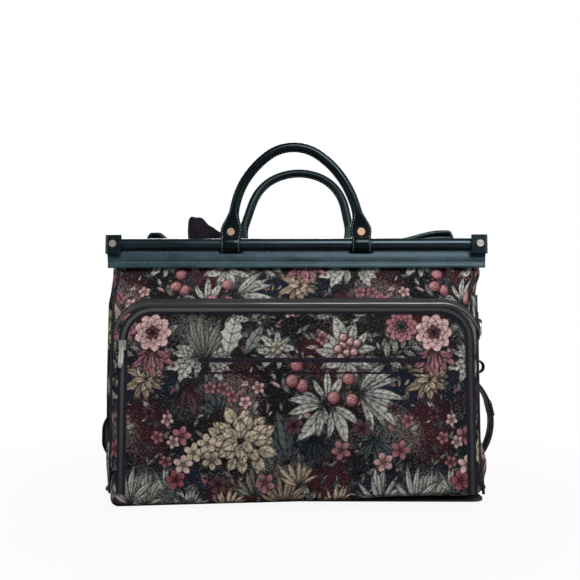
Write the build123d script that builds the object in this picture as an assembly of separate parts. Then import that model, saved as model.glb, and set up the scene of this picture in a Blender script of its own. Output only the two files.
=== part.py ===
"""Rolling garment bag: a soft zipped bag on two covered rails, with rolled handles, straps and wheels."""
import os
from math import atan2, cos, radians, sin, sqrt, tan

from build123d import *

# Soft bag; the front is -Y and the floor is Z = 0
bag_width = 530.0
bag_depth = 220.0
bag_top = 329.0
shoulder_drop = 57.0
bag_top_depth = 116.0
bag_corner = 16.0
floor_gap = 4.0
base_thickness = 3.0
base_inset = 7.0
base_corner = 18.0
seat_gap = 0.1
overrun = 5.0

# Crowned closure between the rails
crown_foot_depth = 84.0
crown_top_depth = 60.0
crown_height = 43.0
crown_inset = 9.0
crown_edge = 9.0

# Front pocket, its zip and its slip pocket
pocket_inset = 19.0
pocket_shoulder_lap = 7.0
pocket_foot = 9.0
pocket_depth = 26.0
pocket_corner = 55.0
pocket_foot_corner = 10.0
pocket_crown = 7.0
zip_inset = 14.5
zip_foot = 22.0
tape_width = 12.0
tape_thickness = 1.0
coil_width = 4.6
coil_height = 1.4
welt_length = 300.0
welt_height = 9.0
welt_thickness = 1.6
welt_centre_x = 22.0
welt_centre_z = 188.0
welt_edge = 0.6

# Zip slider and its pull
slider_height = 217.0
slider_width = 10.0
slider_length = 13.0
slider_rise = 4.2
slider_clearance = 0.3
slider_edge = 1.2
bail_width = 2.6
bail_span = 9.0
bail_thickness = 1.2
bail_gap = 3.0
pull_length = 27.0
pull_width = 8.0
pull_thickness = 1.4
pull_slot_length = 6.0
pull_tip_radius = 3.0

# Rails, leather bands and end tabs
rail_overhang = 15.0
rail_radius = 9.0
rail_spacing = 110.0
rail_rise = 35.0
band_thickness = 3.0
band_top_gap = 3.6
band_foot_overhang = 9.0
end_tab_length = 24.0
end_tab_thickness = 3.0
end_tab_drop = 14.0
end_tab_stand = 13.0
end_tab_corner = 5.0
screw_inset = 12.0
screw_head_radius = 5.2
screw_head_height = 1.8
screw_shank_radius = 2.0
screw_bite = 8.0
screw_slot_width = 1.0
screw_slot_depth = 0.7

# Rolled handles: a crest arc, a wider shoulder arc on each side and straight legs
handle_rise = 144.0
handle_span = 192.0
front_leg_height = 35.4
front_leg_lean = 8.0
front_crest_turn = 36.0
rear_leg_height = 84.5
rear_leg_lean = 17.0
rear_crest_turn = 60.0
rear_handle_lean = 14.0
grip_radius = 7.0
loop_width = 31.0
loop_thickness = 2.6
loop_clearance = 0.08
slot_clearance = 1.5
foot_tab_top = 50.0
foot_tab_thickness = 7.0
rivet_height = 18.5
rivet_head_radius = 5.6
rivet_head_height = 1.5
rivet_shank_radius = 1.8

# Top strap and hook flap lying on the crown
strap_front = -2.0
strap_depth = 20.0
strap_thickness = 4.0
strap_left_inset = 31.0
strap_left_hump = 31.0
strap_left_rise = 17.0
strap_right_inset = 19.0
strap_right_hump = 82.0
strap_right_rise = 20.0
strap_hump_edge = 5.0
flap_left = -164.0
flap_width = 44.0
flap_height = 42.0
flap_low_height = 20.0
flap_front = -14.0
flap_thickness = 5.0
flap_edge = 2.0

# Side straps
side_strap_y = -35.0
side_strap_width = 20.0
side_strap_thickness = 4.0
side_tab_length = 22.0
left_strap_foot = 46.0
left_strap_span = 80.0
left_strap_bow = 21.0
right_strap_foot = 52.0
right_strap_span = 108.0
right_strap_bow = 24.0
side_rivet_radius = 4.0
side_rivet_height = 1.6

# Buckle on the right strap
buckle_height = 124.0
buckle_width = 31.0
buckle_length = 22.0
buckle_bar = 3.4
buckle_thickness = 3.2
buckle_corner = 3.0
prong_width = 2.6
prong_thickness = 1.8

# Ring and its leather chape on the right side
ring_wire_radius = 2.1
ring_width = 34.0
ring_drop = 20.0
ring_corner = 7.0
ring_height = 250.0
ring_clearance = 0.08
chape_width = 18.0
chape_length = 40.0
chape_thickness = 4.0
chape_loop_radius = 5.0

# Wheels, housings, axles and glide feet
wheel_inset = 39.0
wheel_y = 66.0
wheel_radius = 22.0
wheel_width = 18.0
tyre_thickness = 5.0
tyre_edge = 2.5
hub_recess = 3.0
hub_rim = 3.0
hub_boss_radius = 6.5
axle_radius = 3.0
axle_clearance = 0.05
housing_wall = 2.5
housing_side_gap = 2.0
housing_roof_gap = 3.0
housing_flange = 6.0
housing_flange_thickness = 1.8
housing_corner = 6.0
foot_inset = 39.0
foot_radius = 15.0
foot_edge = 1.5

# Places worked out from the sizes above
bag_floor = floor_gap + base_thickness
front_face = bag_depth / 2
side_face = bag_width / 2
pocket_face = front_face + pocket_depth
pocket_width = bag_width - 2 * pocket_inset
shoulder_start = bag_top - shoulder_drop
pocket_top = shoulder_start + pocket_shoulder_lap
crown_top = bag_top + crown_height
crown_length = bag_width - 2 * crown_inset
rail_y = rail_spacing / 2
rail_height = bag_top + rail_rise
rail_length = bag_width + 2 * rail_overhang
band_top_length = rail_length - 2 * band_top_gap
band_foot_length = bag_width + 2 * band_foot_overhang
end_tab_foot = rail_height - end_tab_drop
end_tab_top = rail_height + end_tab_stand
strap_left_end = strap_left_inset - side_face
strap_right_end = side_face - strap_right_inset
wheel_x = wheel_inset - side_face
foot_x = side_face - foot_inset
loop_x = handle_span / 2


def rod_x(radius, length):
    return Rot(Y=90) * Cylinder(radius, length)


def rod_y(radius, length):
    return Rot(X=90) * Cylinder(radius, length)


def housing_block(grow):
    """Outer block of a wheel housing, grown on its sides and roof."""
    length = 2 * (wheel_radius + housing_roof_gap + grow)
    width = wheel_width + 2 * (housing_side_gap + grow)
    height = 2 * wheel_radius + housing_roof_gap + grow
    block = Box(length, width, height, align=(Align.CENTER, Align.CENTER, Align.MIN))
    roof_edges = block.edges().filter_by(Axis.Y).group_by(Axis.Z)[-1]
    return fillet(roof_edges, housing_corner + grow)


def main_bag():
    """Soft bag: one end profile carried over the width, its shoulders two arcs that meet in the middle."""
    drop, step = shoulder_drop, (bag_depth - bag_top_depth) / 2
    bend = (drop**2 + step**2) / (4 * step)
    middle = (front_face - step / 2, shoulder_start + drop / 2)
    half_turn = atan2(drop / 2, bend - step / 2) / 2
    swell = (front_face - bend + bend * cos(half_turn), shoulder_start + bend * sin(half_turn))
    hollow = (2 * middle[0] - swell[0], 2 * middle[1] - swell[1])
    foot, start, top = (front_face, bag_floor), (front_face, shoulder_start), (bag_top_depth / 2, bag_top)
    right = [foot, start, swell, middle, hollow, top]
    left = [(-y, z) for y, z in right]
    profile = Line(left[0], right[0])
    for side in (right, left):
        profile += Line(side[0], side[1])
        profile += ThreePointArc(side[1], side[2], side[3])
        profile += ThreePointArc(side[3], side[4], side[5])
    profile += Line(right[5], left[5])
    bag = extrude(Plane.YZ * make_face(profile), bag_width / 2, both=True)
    end_edges = bag.faces().filter_by(Axis.X).edges()
    bag = fillet(end_edges, bag_corner)
    for side in (-1, 1):
        bag -= Pos(wheel_x, side * wheel_y) * housing_block(housing_wall)
    return bag


def top_crown():
    """Stuffed closure that bulges up between the two rails."""
    profile = Polyline(
        (-crown_foot_depth / 2, bag_top),
        (crown_foot_depth / 2, bag_top),
        (crown_top_depth / 2, crown_top),
        (-crown_top_depth / 2, crown_top),
        close=True,
    )
    crown = extrude(Plane.YZ * make_face(profile), crown_length / 2, both=True)
    top_edges = crown.faces().sort_by(Axis.Z)[-1].edges()
    return fillet(top_edges, crown_edge)


def base_board():
    """Stiff board under the bag, cut out round the wheel housings."""
    width = bag_width - 2 * base_inset
    depth = bag_depth - 2 * base_inset
    board = extrude(Pos(0, 0, floor_gap) * RectangleRounded(width, depth, base_corner), base_thickness)
    for side in (-1, 1):
        board -= Pos(wheel_x, side * wheel_y) * housing_block(housing_wall)
    return board


def pocket_shape(inset, foot):
    """Pocket outline drawn in from its edge, square at the foot and round at the top corners."""
    width = pocket_width - 2 * inset
    height = pocket_top - inset - foot
    outline = Pos(0, foot + height / 2) * Rectangle(width, height)
    top_corners = outline.vertices().group_by(Axis.Y)[-1]
    return fillet(top_corners, pocket_corner - inset)


def front_pocket():
    outline = pocket_shape(0, pocket_foot)
    foot_corners = outline.vertices().group_by(Axis.Y)[0]
    outline = fillet(foot_corners, pocket_foot_corner)
    pocket = extrude(Plane.XZ.offset(front_face) * outline, pocket_depth)
    front_edges = pocket.faces().sort_by(Axis.Y)[0].edges()
    return fillet(front_edges, pocket_crown)


def zip_run(width, depth, height):
    """Band of the zip, an inverted U that keeps one inset from the pocket's edge."""
    band = pocket_shape(zip_inset - width / 2, zip_foot) - pocket_shape(zip_inset + width / 2, zip_foot)
    return extrude(Plane.XZ.offset(depth) * band, height)


def pocket_zip_tape():
    return zip_run(tape_width, pocket_face, tape_thickness)


def pocket_zip_coil():
    return zip_run(coil_width, pocket_face + tape_thickness, coil_height)


def slip_pocket_welt():
    welt = Box(welt_length, welt_thickness, welt_height)
    welt = fillet(welt.faces().sort_by(Axis.Y)[0].edges(), welt_edge)
    return Pos(welt_centre_x, -pocket_face - welt_thickness / 2, welt_centre_z) * welt


slider_x = zip_inset - pocket_width / 2
slider_back = pocket_face + tape_thickness + slider_clearance
slider_front = slider_back + slider_rise
pull_pin_y = slider_front + bail_gap / 2


def zip_slider():
    """Slider that straddles the coil, with a bail bridging its front."""
    body = Box(slider_width, slider_rise, slider_length)
    body = fillet(body.edges().filter_by(Axis.Y), slider_edge)
    body = Pos(slider_x, -slider_back - slider_rise / 2, slider_height) * body
    groove_width = coil_width + 2 * slider_clearance
    groove_rise = coil_height + slider_clearance
    groove = Box(groove_width, 2 * groove_rise, slider_length + 2 * overrun)
    body -= Pos(slider_x, -pocket_face - tape_thickness, slider_height) * groove
    bail = Box(bail_width, bail_gap + bail_thickness, bail_span)
    gap_span = bail_span - 2 * bail_thickness
    bail -= Pos(0, bail_thickness / 2, 0) * Box(bail_width, bail_gap, gap_span)
    bail_y = -slider_front - (bail_gap + bail_thickness) / 2
    return body + Pos(slider_x, bail_y, slider_height) * bail


def zip_pull():
    """Flat drop pull whose top bar lies under the slider's bail."""
    centre = pull_length / 2 - pull_thickness / 2
    plate = Pos(0, -centre) * RectangleRounded(pull_width, pull_length, pull_tip_radius)
    slot_width = bail_width + 2 * slider_clearance
    slot_centre = pull_thickness / 2 + pull_slot_length / 2
    plate -= Pos(0, -slot_centre) * Rectangle(slot_width, pull_slot_length)
    pull = extrude(Plane.XZ * plate, pull_thickness / 2, both=True)
    return Pos(slider_x, -pull_pin_y, slider_height) * pull


tab_face = rail_y + rail_radius + seat_gap + end_tab_thickness


def screw(side, end):
    """Slotted screw through an end tab into its rail, head outwards."""
    shank_length = end_tab_thickness + seat_gap + screw_bite
    head = Pos(0, 0, screw_head_height / 2) * Cylinder(screw_head_radius, screw_head_height)
    slot = Box(2 * screw_head_radius, screw_slot_width, 2 * screw_slot_depth)
    head -= Pos(0, 0, screw_head_height) * slot
    solid = head + Pos(0, 0, -shank_length / 2) * Cylinder(screw_shank_radius, shank_length)
    turned = Rot(X=-90 * side) * solid
    return Pos(end * (rail_length / 2 - screw_inset), side * tab_face, rail_height) * turned


def rail(side):
    length = rail_length - 2 * (end_tab_thickness + seat_gap)
    solid = Pos(0, side * rail_y, rail_height) * rod_x(rail_radius, length)
    for end in (-1, 1):
        solid -= screw(side, end)
    return solid


def rail_band(side):
    """Leather band from the rail down to the bag, slit where the handle loops pass under the rail."""
    top = rail_height - rail_radius / 2
    outline = Polyline(
        (-band_foot_length / 2, bag_top),
        (band_foot_length / 2, bag_top),
        (band_top_length / 2, top),
        (-band_top_length / 2, top),
        close=True,
    )
    band = extrude(Plane.XZ * make_face(outline), band_thickness / 2, both=True)
    band -= Pos(0, 0, rail_height) * rod_x(rail_radius + seat_gap, band_top_length + overrun)
    slit = rod_x(rail_radius + loop_thickness + slot_clearance, loop_width + 2 * slot_clearance)
    for end in (-1, 1):
        band -= Pos(end * loop_x, 0, rail_height) * slit
    return Pos(0, side * rail_y) * band


def end_tab(end):
    """Leather strip that wraps both rail ends and ties the rails together."""
    outer = Rectangle(end_tab_length, 2 * tab_face)
    outer = fillet(outer.vertices().group_by(Axis.X)[0], end_tab_corner)
    inner = Pos(end_tab_thickness) * Rectangle(end_tab_length, 2 * (tab_face - end_tab_thickness))
    strip = extrude(Pos(0, 0, end_tab_foot) * (outer - inner), end_tab_top - end_tab_foot)
    strip = Pos(end_tab_length / 2 - rail_length / 2) * strip
    if end > 0:
        strip = Rot(Z=180) * strip
    for side in (-1, 1):
        strip -= screw(side, end)
    return strip


def rivet():
    """Two-headed rivet along Y through a handle's foot."""
    reach = foot_tab_thickness / 2
    solid = rod_y(rivet_shank_radius, foot_tab_thickness)
    for side in (-1, 1):
        solid += Pos(0, side * (reach + rivet_head_height / 2)) * rod_y(rivet_head_radius, rivet_head_height)
    return solid


def handle_route(leg_height, leg_lean, crest_turn):
    """Centre line of a handle: two radii are worked out so that the arcs join the legs under the crest."""
    lean, turn = radians(leg_lean), radians(crest_turn)
    leg_top = (loop_x - (leg_height - rivet_height) * tan(lean), leg_height)
    rise = handle_rise - leg_height
    across, down = cos(lean) - sin(turn), cos(turn) - sin(lean)
    scale = sin(turn) * down - (1 - cos(turn)) * across
    crest_radius = (leg_top[0] * down - rise * across) / scale
    shoulder_radius = (rise * sin(turn) - leg_top[0] * (1 - cos(turn))) / scale
    crest_end = (crest_radius * sin(turn), handle_rise - crest_radius * (1 - cos(turn)))
    middle = (turn + radians(90) - lean) / 2
    on_shoulder = (
        crest_end[0] + shoulder_radius * (sin(middle) - sin(turn)),
        crest_end[1] - shoulder_radius * (cos(turn) - cos(middle)),
    )
    foot = (loop_x, rivet_height)
    left = [(-x, z) for x, z in (foot, leg_top, on_shoulder, crest_end)]
    route = Line(left[0], left[1])
    route += ThreePointArc(left[1], left[2], left[3])
    route += ThreePointArc(left[3], (0, handle_rise), crest_end)
    route += ThreePointArc(crest_end, on_shoulder, leg_top)
    route += Line(leg_top, foot)
    return Plane.XZ * route


def handle(leg_height, leg_lean, crest_turn):
    """Rolled handle about the rail's axis: a round grip over an arch, flat feet and loops round the rail."""
    path = handle_route(leg_height, leg_lean, crest_turn)
    section_plane = Plane(origin=path @ 0, z_dir=path % 0)
    solid = sweep(section_plane * Circle(grip_radius), path)
    tab_x = loop_x - (foot_tab_top - rivet_height) * tan(radians(leg_lean))
    for end in (-1, 1):
        outline = Polyline(
            (end * (loop_x - loop_width / 2), 0),
            (end * (loop_x + loop_width / 2), 0),
            (end * (loop_x + loop_width / 2), rivet_height),
            (end * (tab_x + grip_radius), foot_tab_top),
            (end * (tab_x - grip_radius), foot_tab_top),
            (end * (loop_x - loop_width / 2), rivet_height),
            close=True,
        )
        tab = extrude(Plane.XZ * make_face(outline), foot_tab_thickness / 2, both=True)
        solid += tab
    for end in (-1, 1):
        # The grip thins to the flat foot round the rivet
        for side in (-1, 1):
            flat = Box(loop_width, 2 * grip_radius, 2 * rivet_height)
            solid -= Pos(end * loop_x, side * (foot_tab_thickness / 2 + grip_radius), rivet_height) * flat
        solid += Pos(end * loop_x) * rod_x(rail_radius + loop_thickness, loop_width)
        solid -= Pos(end * loop_x, 0, rivet_height) * rivet()
    return solid - rod_x(rail_radius + loop_clearance, rail_length)


def handle_rivets():
    return [Pos(end * loop_x, 0, rivet_height) * rivet() for end in (-1, 1)]


def place_front(shape):
    return Pos(0, -rail_y, rail_height) * shape


def place_rear(shape):
    return Pos(0, rail_y, rail_height) * Rot(X=-rear_handle_lean) * shape


def top_strap():
    """Leather strap lying on the crown, folded into a low hump at the left and a long one at the right."""
    level = crown_top + strap_thickness
    left_inner = strap_left_end + strap_left_hump
    right_inner = strap_right_end - strap_right_hump
    left_edge = strap_left_end + strap_hump_edge
    right_edge = strap_right_end - strap_hump_edge
    left_top = crown_top + strap_left_rise
    right_top = crown_top + strap_right_rise
    outline = Line((strap_left_end, crown_top), (strap_right_end, crown_top))
    outline += Line((strap_right_end, crown_top), (strap_right_end, right_top - strap_hump_edge))
    right_start = (strap_right_end, right_top - strap_hump_edge)
    outline += RadiusArc(right_start, (right_edge, right_top), -strap_hump_edge)
    outline += Line((right_edge, right_top), (right_inner, level))
    outline += Line((right_inner, level), (left_inner, level))
    outline += Line((left_inner, level), (left_edge, left_top))
    left_finish = (strap_left_end, left_top - strap_hump_edge)
    outline += RadiusArc((left_edge, left_top), left_finish, -strap_hump_edge)
    outline += Line((strap_left_end, left_top - strap_hump_edge), (strap_left_end, crown_top))
    return extrude(Plane.XZ.offset(-strap_front) * make_face(outline), -strap_depth)


def hook_flap():
    """Cloth flap standing on the crown behind the front rail, higher at its left edge."""
    outline = Polyline(
        (flap_left, crown_top),
        (flap_left + flap_width, crown_top),
        (flap_left + flap_width, crown_top + flap_low_height),
        (flap_left + flap_width / 2, crown_top + flap_height),
        (flap_left, crown_top + flap_height),
        close=True,
    )
    flap = extrude(Plane.XZ.offset(-flap_front) * make_face(outline), -flap_thickness)
    upper_edges = flap.edges().filter_by(Axis.Y).group_by(Axis.Z)[-1]
    return fillet(upper_edges, flap_edge)


def side_strap(end, foot, span, bow):
    """Bowed strap on a side face, flat tabs above and below a span between two arcs."""
    inner_bow = bow - side_strap_thickness
    start = (side_face + side_strap_thickness, foot)
    finish = (side_face + side_strap_thickness, foot + span)
    middle = foot + span / 2
    outline = ThreePointArc(start, (side_face + bow, middle), finish)
    outline += Line(finish, (side_face, foot + span))
    outline += ThreePointArc((side_face, foot + span), (side_face + inner_bow, middle), (side_face, foot))
    outline += Line((side_face, foot), start)
    face = make_face(outline)
    for tab_foot in (foot - side_tab_length, foot + span):
        tab_centre = (side_face + side_strap_thickness / 2, tab_foot + side_tab_length / 2)
        face += Pos(*tab_centre) * Rectangle(side_strap_thickness, side_tab_length)
    strap = Pos(0, side_strap_y) * extrude(Plane.XZ * face, side_strap_width / 2, both=True)
    return strap if end > 0 else mirror(strap, Plane.YZ)


def side_rivets(end, foot, span):
    """Rivet heads at the middle of a side strap's two tabs."""
    heads = []
    x = end * (side_face + side_strap_thickness + side_rivet_height / 2)
    for height in (foot - side_tab_length / 2, foot + span + side_tab_length / 2):
        heads.append(Pos(x, side_strap_y, height) * rod_x(side_rivet_radius, side_rivet_height))
    return heads


# Circle of the right strap's middle line, and the strap's place and slope at the buckle
strap_line_bow = right_strap_bow - side_strap_thickness
strap_line_radius = ((right_strap_span / 2) ** 2 + strap_line_bow**2) / (2 * strap_line_bow)
strap_line_x = side_face + right_strap_bow - side_strap_thickness / 2 - strap_line_radius
buckle_offset = buckle_height - right_strap_foot - right_strap_span / 2
buckle_x = strap_line_x + sqrt(strap_line_radius**2 - buckle_offset**2)
buckle_rise_share = buckle_offset / strap_line_radius


def on_strap(shape):
    """Turn a shape that lies flat in YZ to the slope of the right strap at the buckle."""
    slope = Plane(
        origin=(buckle_x, side_strap_y, buckle_height),
        x_dir=(0, 1, 0),
        z_dir=(sqrt(1 - buckle_rise_share**2), 0, buckle_rise_share),
    )
    return slope * shape


def buckle_frame():
    window_width = buckle_width - 2 * buckle_bar
    window_length = buckle_length - 2 * buckle_bar
    ring = RectangleRounded(buckle_width, buckle_length, buckle_corner)
    ring -= RectangleRounded(window_width, window_length, buckle_corner / 2)
    return on_strap(extrude(ring, buckle_thickness / 2, both=True))


def buckle_prong():
    """Tongue lying on the strap's outer face between the buckle's two bars."""
    level = (side_strap_thickness + prong_thickness) / 2
    prong = Pos(0, 0, level + seat_gap) * Box(prong_width, buckle_length, prong_thickness)
    return on_strap(prong)


def pull_strap():
    strap = side_strap(1, right_strap_foot, right_strap_span, right_strap_bow)
    return strap - buckle_frame()


ring_x = side_face + chape_loop_radius


def ring_chape():
    """Leather tab on the right side, folded at its foot into a loop for the ring."""
    tab = Box(chape_thickness, chape_width, chape_length, align=(Align.MIN, Align.CENTER, Align.MIN))
    chape = Pos(side_face, side_strap_y, ring_height) * tab
    chape += Pos(ring_x, side_strap_y, ring_height) * rod_y(chape_loop_radius, chape_width)
    bore = rod_y(ring_wire_radius + ring_clearance, ring_width)
    return chape - Pos(ring_x, side_strap_y, ring_height) * bore


def side_ring():
    """Wire ring with a straight top bar, hanging beside the bag."""
    outline = Plane.YZ * (Pos(0, -ring_drop / 2) * RectangleRounded(ring_width, ring_drop, ring_corner))
    path = outline.wires()[0]
    section = Plane(origin=path @ 0, z_dir=path % 0) * Circle(ring_wire_radius)
    return Pos(ring_x, side_strap_y, ring_height) * sweep(section, path)


def wheel_housing(side):
    """Moulded cup let into the base, open below, with a flange under the board."""
    outer = housing_block(housing_wall)
    inner = housing_block(0)
    flange_length = 2 * (wheel_radius + housing_roof_gap + housing_wall + housing_flange)
    flange_width = wheel_width + 2 * (housing_side_gap + housing_wall + housing_flange)
    flange = RectangleRounded(flange_length, flange_width, housing_corner)
    flange = extrude(Pos(0, 0, floor_gap - housing_flange_thickness) * flange, housing_flange_thickness)
    below = floor_gap - housing_flange_thickness
    cut = Box(flange_length, flange_width, below, align=(Align.CENTER, Align.CENTER, Align.MIN))
    cup = outer + flange - cut - inner
    cup -= Pos(0, 0, wheel_radius) * rod_y(axle_radius, flange_width)
    return Pos(wheel_x, side * wheel_y) * cup


def wheel_axle(side):
    """Pin held in the housing's two walls."""
    length = wheel_width + 2 * (housing_side_gap + housing_wall)
    return Pos(wheel_x, side * wheel_y, wheel_radius) * rod_y(axle_radius, length)


def wheel_hub(side):
    """Turned hub: a rim, a thin web and a boss bored for the axle."""
    rim_radius = wheel_radius - tyre_thickness
    half = wheel_width / 2
    web = half - hub_recess
    bore = axle_radius + axle_clearance
    outline = Polyline(
        (bore, -half),
        (hub_boss_radius, -half),
        (hub_boss_radius, -web),
        (rim_radius - hub_rim, -web),
        (rim_radius - hub_rim, -half),
        (rim_radius, -half),
        (rim_radius, half),
        (rim_radius - hub_rim, half),
        (rim_radius - hub_rim, web),
        (hub_boss_radius, web),
        (hub_boss_radius, half),
        (bore, half),
        close=True,
    )
    hub = revolve(Plane.XZ * make_face(outline), Axis.Z)
    return Pos(wheel_x, side * wheel_y, wheel_radius) * Rot(X=90) * hub


def wheel_tyre(side):
    """Rubber tread with bevelled shoulders, pressed on the hub."""
    ring = Cylinder(wheel_radius, wheel_width)
    ring = chamfer(ring.edges(), tyre_edge)
    ring -= Cylinder(wheel_radius - tyre_thickness, wheel_width)
    return Pos(wheel_x, side * wheel_y, wheel_radius) * Rot(X=90) * ring


def glide_feet():
    feet = []
    for side in (-1, 1):
        foot = Cylinder(foot_radius, floor_gap, align=(Align.CENTER, Align.CENTER, Align.MIN))
        foot = chamfer(foot.edges().sort_by(Axis.Z)[0], foot_edge)
        feet.append(Pos(foot_x, side * wheel_y) * foot)
    return feet


def write(name, shape):
    solid = Compound(children=shape) if isinstance(shape, list) else shape
    export_step(solid, f"parts/{name}.step")


os.makedirs("parts", exist_ok=True)
write("main_bag", main_bag())
write("top_crown", top_crown())
write("base_board", base_board())
write("front_pocket", front_pocket())
write("pocket_zip_tape", pocket_zip_tape())
write("pocket_zip_coil", pocket_zip_coil())
write("slip_pocket_welt", slip_pocket_welt())
write("zip_slider", zip_slider())
write("zip_pull", zip_pull())
for word, side in (("front", -1), ("rear", 1)):
    write(f"{word}_rail", rail(side))
    write(f"{word}_rail_band", rail_band(side))
    write(f"{word}_wheel_housing", wheel_housing(side))
    write(f"{word}_wheel_axle", wheel_axle(side))
    write(f"{word}_wheel_hub", wheel_hub(side))
    write(f"{word}_wheel_tyre", wheel_tyre(side))
for word, end in (("left", -1), ("right", 1)):
    write(f"{word}_end_tab", end_tab(end))
write("rail_screws", [screw(side, end) for side in (-1, 1) for end in (-1, 1)])
write("front_handle", place_front(handle(front_leg_height, front_leg_lean, front_crest_turn)))
write("front_handle_rivets", [place_front(pin) for pin in handle_rivets()])
write("rear_handle", place_rear(handle(rear_leg_height, rear_leg_lean, rear_crest_turn)))
write("rear_handle_rivets", [place_rear(pin) for pin in handle_rivets()])
write("top_strap", top_strap())
write("hook_flap", hook_flap())
write("left_side_strap", side_strap(-1, left_strap_foot, left_strap_span, left_strap_bow))
write("left_strap_rivets", side_rivets(-1, left_strap_foot, left_strap_span))
write("right_side_strap", pull_strap())
write("right_strap_rivets", side_rivets(1, right_strap_foot, right_strap_span))
write("buckle_frame", buckle_frame())
write("buckle_prong", buckle_prong())
write("ring_chape", ring_chape())
write("side_ring", side_ring())
write("glide_feet", glide_feet())
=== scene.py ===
"""Looks of a rolling garment bag: floral tapestry on covered rails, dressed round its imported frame."""
import math

import bpy
import numpy as np
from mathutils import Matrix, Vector


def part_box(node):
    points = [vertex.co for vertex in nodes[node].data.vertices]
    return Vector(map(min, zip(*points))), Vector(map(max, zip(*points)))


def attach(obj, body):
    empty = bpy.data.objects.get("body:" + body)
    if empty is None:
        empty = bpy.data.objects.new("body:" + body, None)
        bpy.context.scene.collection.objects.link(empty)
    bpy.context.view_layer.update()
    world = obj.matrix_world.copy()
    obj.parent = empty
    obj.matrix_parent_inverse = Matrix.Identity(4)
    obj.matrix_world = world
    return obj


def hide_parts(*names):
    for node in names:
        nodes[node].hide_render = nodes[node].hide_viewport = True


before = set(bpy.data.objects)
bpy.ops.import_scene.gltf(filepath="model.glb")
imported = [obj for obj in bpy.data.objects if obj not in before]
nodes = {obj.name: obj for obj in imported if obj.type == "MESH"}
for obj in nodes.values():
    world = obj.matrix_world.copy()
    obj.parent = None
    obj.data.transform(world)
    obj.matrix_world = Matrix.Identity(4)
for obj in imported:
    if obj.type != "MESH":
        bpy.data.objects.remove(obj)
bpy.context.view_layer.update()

# The tapestry is a jacquard of dull yarns: one repeat of flowers, leaves and berries on dark ground,
# woven side by side across the cloth. Each motif has a dark outline, creases and a light and a deep yarn.
MM = 0.001
repeat_wide, repeat_tall = 376, 300
woven_u, woven_v = np.meshgrid(np.arange(repeat_wide) + 0.5, np.arange(repeat_tall) + 0.5)
woven = {
    "edge": np.full(woven_u.shape, -6.0),
    "crease": np.full(woven_u.shape, 6.0),
    "tint": np.zeros(woven_u.shape + (3,)),
}
by_hand = np.random.default_rng(11)


def yarn(red, green, blue):
    """Linear colour of a yarn that shows on screen as red, green and blue out of 255."""
    share = np.array([red, green, blue]) / 255
    share = 0.8 * share + 0.2 * share.mean()
    return np.where(share <= 0.04045, share / 12.92, ((share + 0.055) / 1.055) ** 2.4)


charcoal, ink, wine, moss = yarn(26, 25, 27), yarn(27, 31, 44), yarn(54, 27, 33), yarn(31, 34, 31)
silver, sage, slate, teal = yarn(158, 156, 150), yarn(112, 113, 108), yarn(70, 76, 78), yarn(38, 48, 52)
blush, rose, cranberry, plum = yarn(184, 150, 146), yarn(146, 94, 101), yarn(98, 44, 54), yarn(74, 52, 58)
cream, sand, umber, cherry = yarn(172, 155, 132), yarn(134, 116, 97), yarn(70, 55, 47), yarn(140, 66, 72)


def lay(u, v, turn, reach, motif, light_yarn, deep_yarn):
    """Weave one motif at (u, v), turned by degrees, wherever the repeat brings it round.

    Inside the motif the edge field is the depth below its outline; outside it, the motif only pushes
    older motifs back from its outline. The tint runs from the deep yarn to the light one.
    """
    cosine, sine = math.cos(math.radians(turn)), math.sin(math.radians(turn))
    for shift_u in (-repeat_wide, 0, repeat_wide):
        for shift_v in (-repeat_tall, 0, repeat_tall):
            du, dv = woven_u - u - shift_u, woven_v - v - shift_v
            near = du**2 + dv**2 < (reach + 5) ** 2
            if not near.any():
                continue
            du, dv = du[near], dv[near]
            inside, crease, light = motif(du * cosine + dv * sine, dv * cosine - du * sine)
            under = woven["edge"][near]
            beside = np.where(under < 0, np.maximum(under, inside), np.minimum(under, -inside))
            woven["edge"][near] = np.where(inside > 0, inside, beside)
            woven["crease"][near] = np.where(inside > 0, crease, woven["crease"][near])
            blend = np.clip(light, 0, 1)[:, None]
            tint = deep_yarn * (1 - blend) + light_yarn * blend
            takes = (inside > 0) | ((inside > -1.2) & (under < 0))
            woven["tint"][near] = np.where(takes[:, None], tint, woven["tint"][near])


def leaf(length, width, veins=5, arch=0.0, teeth=0.0, blunt=1.0):
    """Pointed leaf from the origin along x: half width is a sine of the way along, notched by its teeth.

    A narrow leaf counts its depth and its creases in finer steps, so that its outline leaves some of it bright.
    """

    def shape(x, y):
        way = np.clip(x / length, 0, 1)
        y = y - arch * length * 4 * way * (1 - way)
        half = width / 2 * np.sin(np.pi * way**blunt)
        half = half * (1 - teeth * np.abs(np.cos(np.pi * veins * way)))
        past = np.maximum(np.maximum(-x, x - length), 0)
        inside = np.where(past > 0, -np.hypot(past, y), (half - np.abs(y)) * max(0.92, 6 / width))
        side_vein = np.abs((way * veins - 1.5 * np.abs(y) / width) % 1 - 0.5) * length / veins
        crease = np.minimum(np.abs(y), 0.75 * side_vein + 0.1) * max(1, 9 / width)
        hatch = 0.22 * np.sin(2 * np.pi * (x - 0.6 * np.abs(y)) / 2.6) * (y < 0)
        return inside, crease, 0.3 + 0.55 * way + 0.3 * (y > 0) + hatch

    return shape


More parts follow.
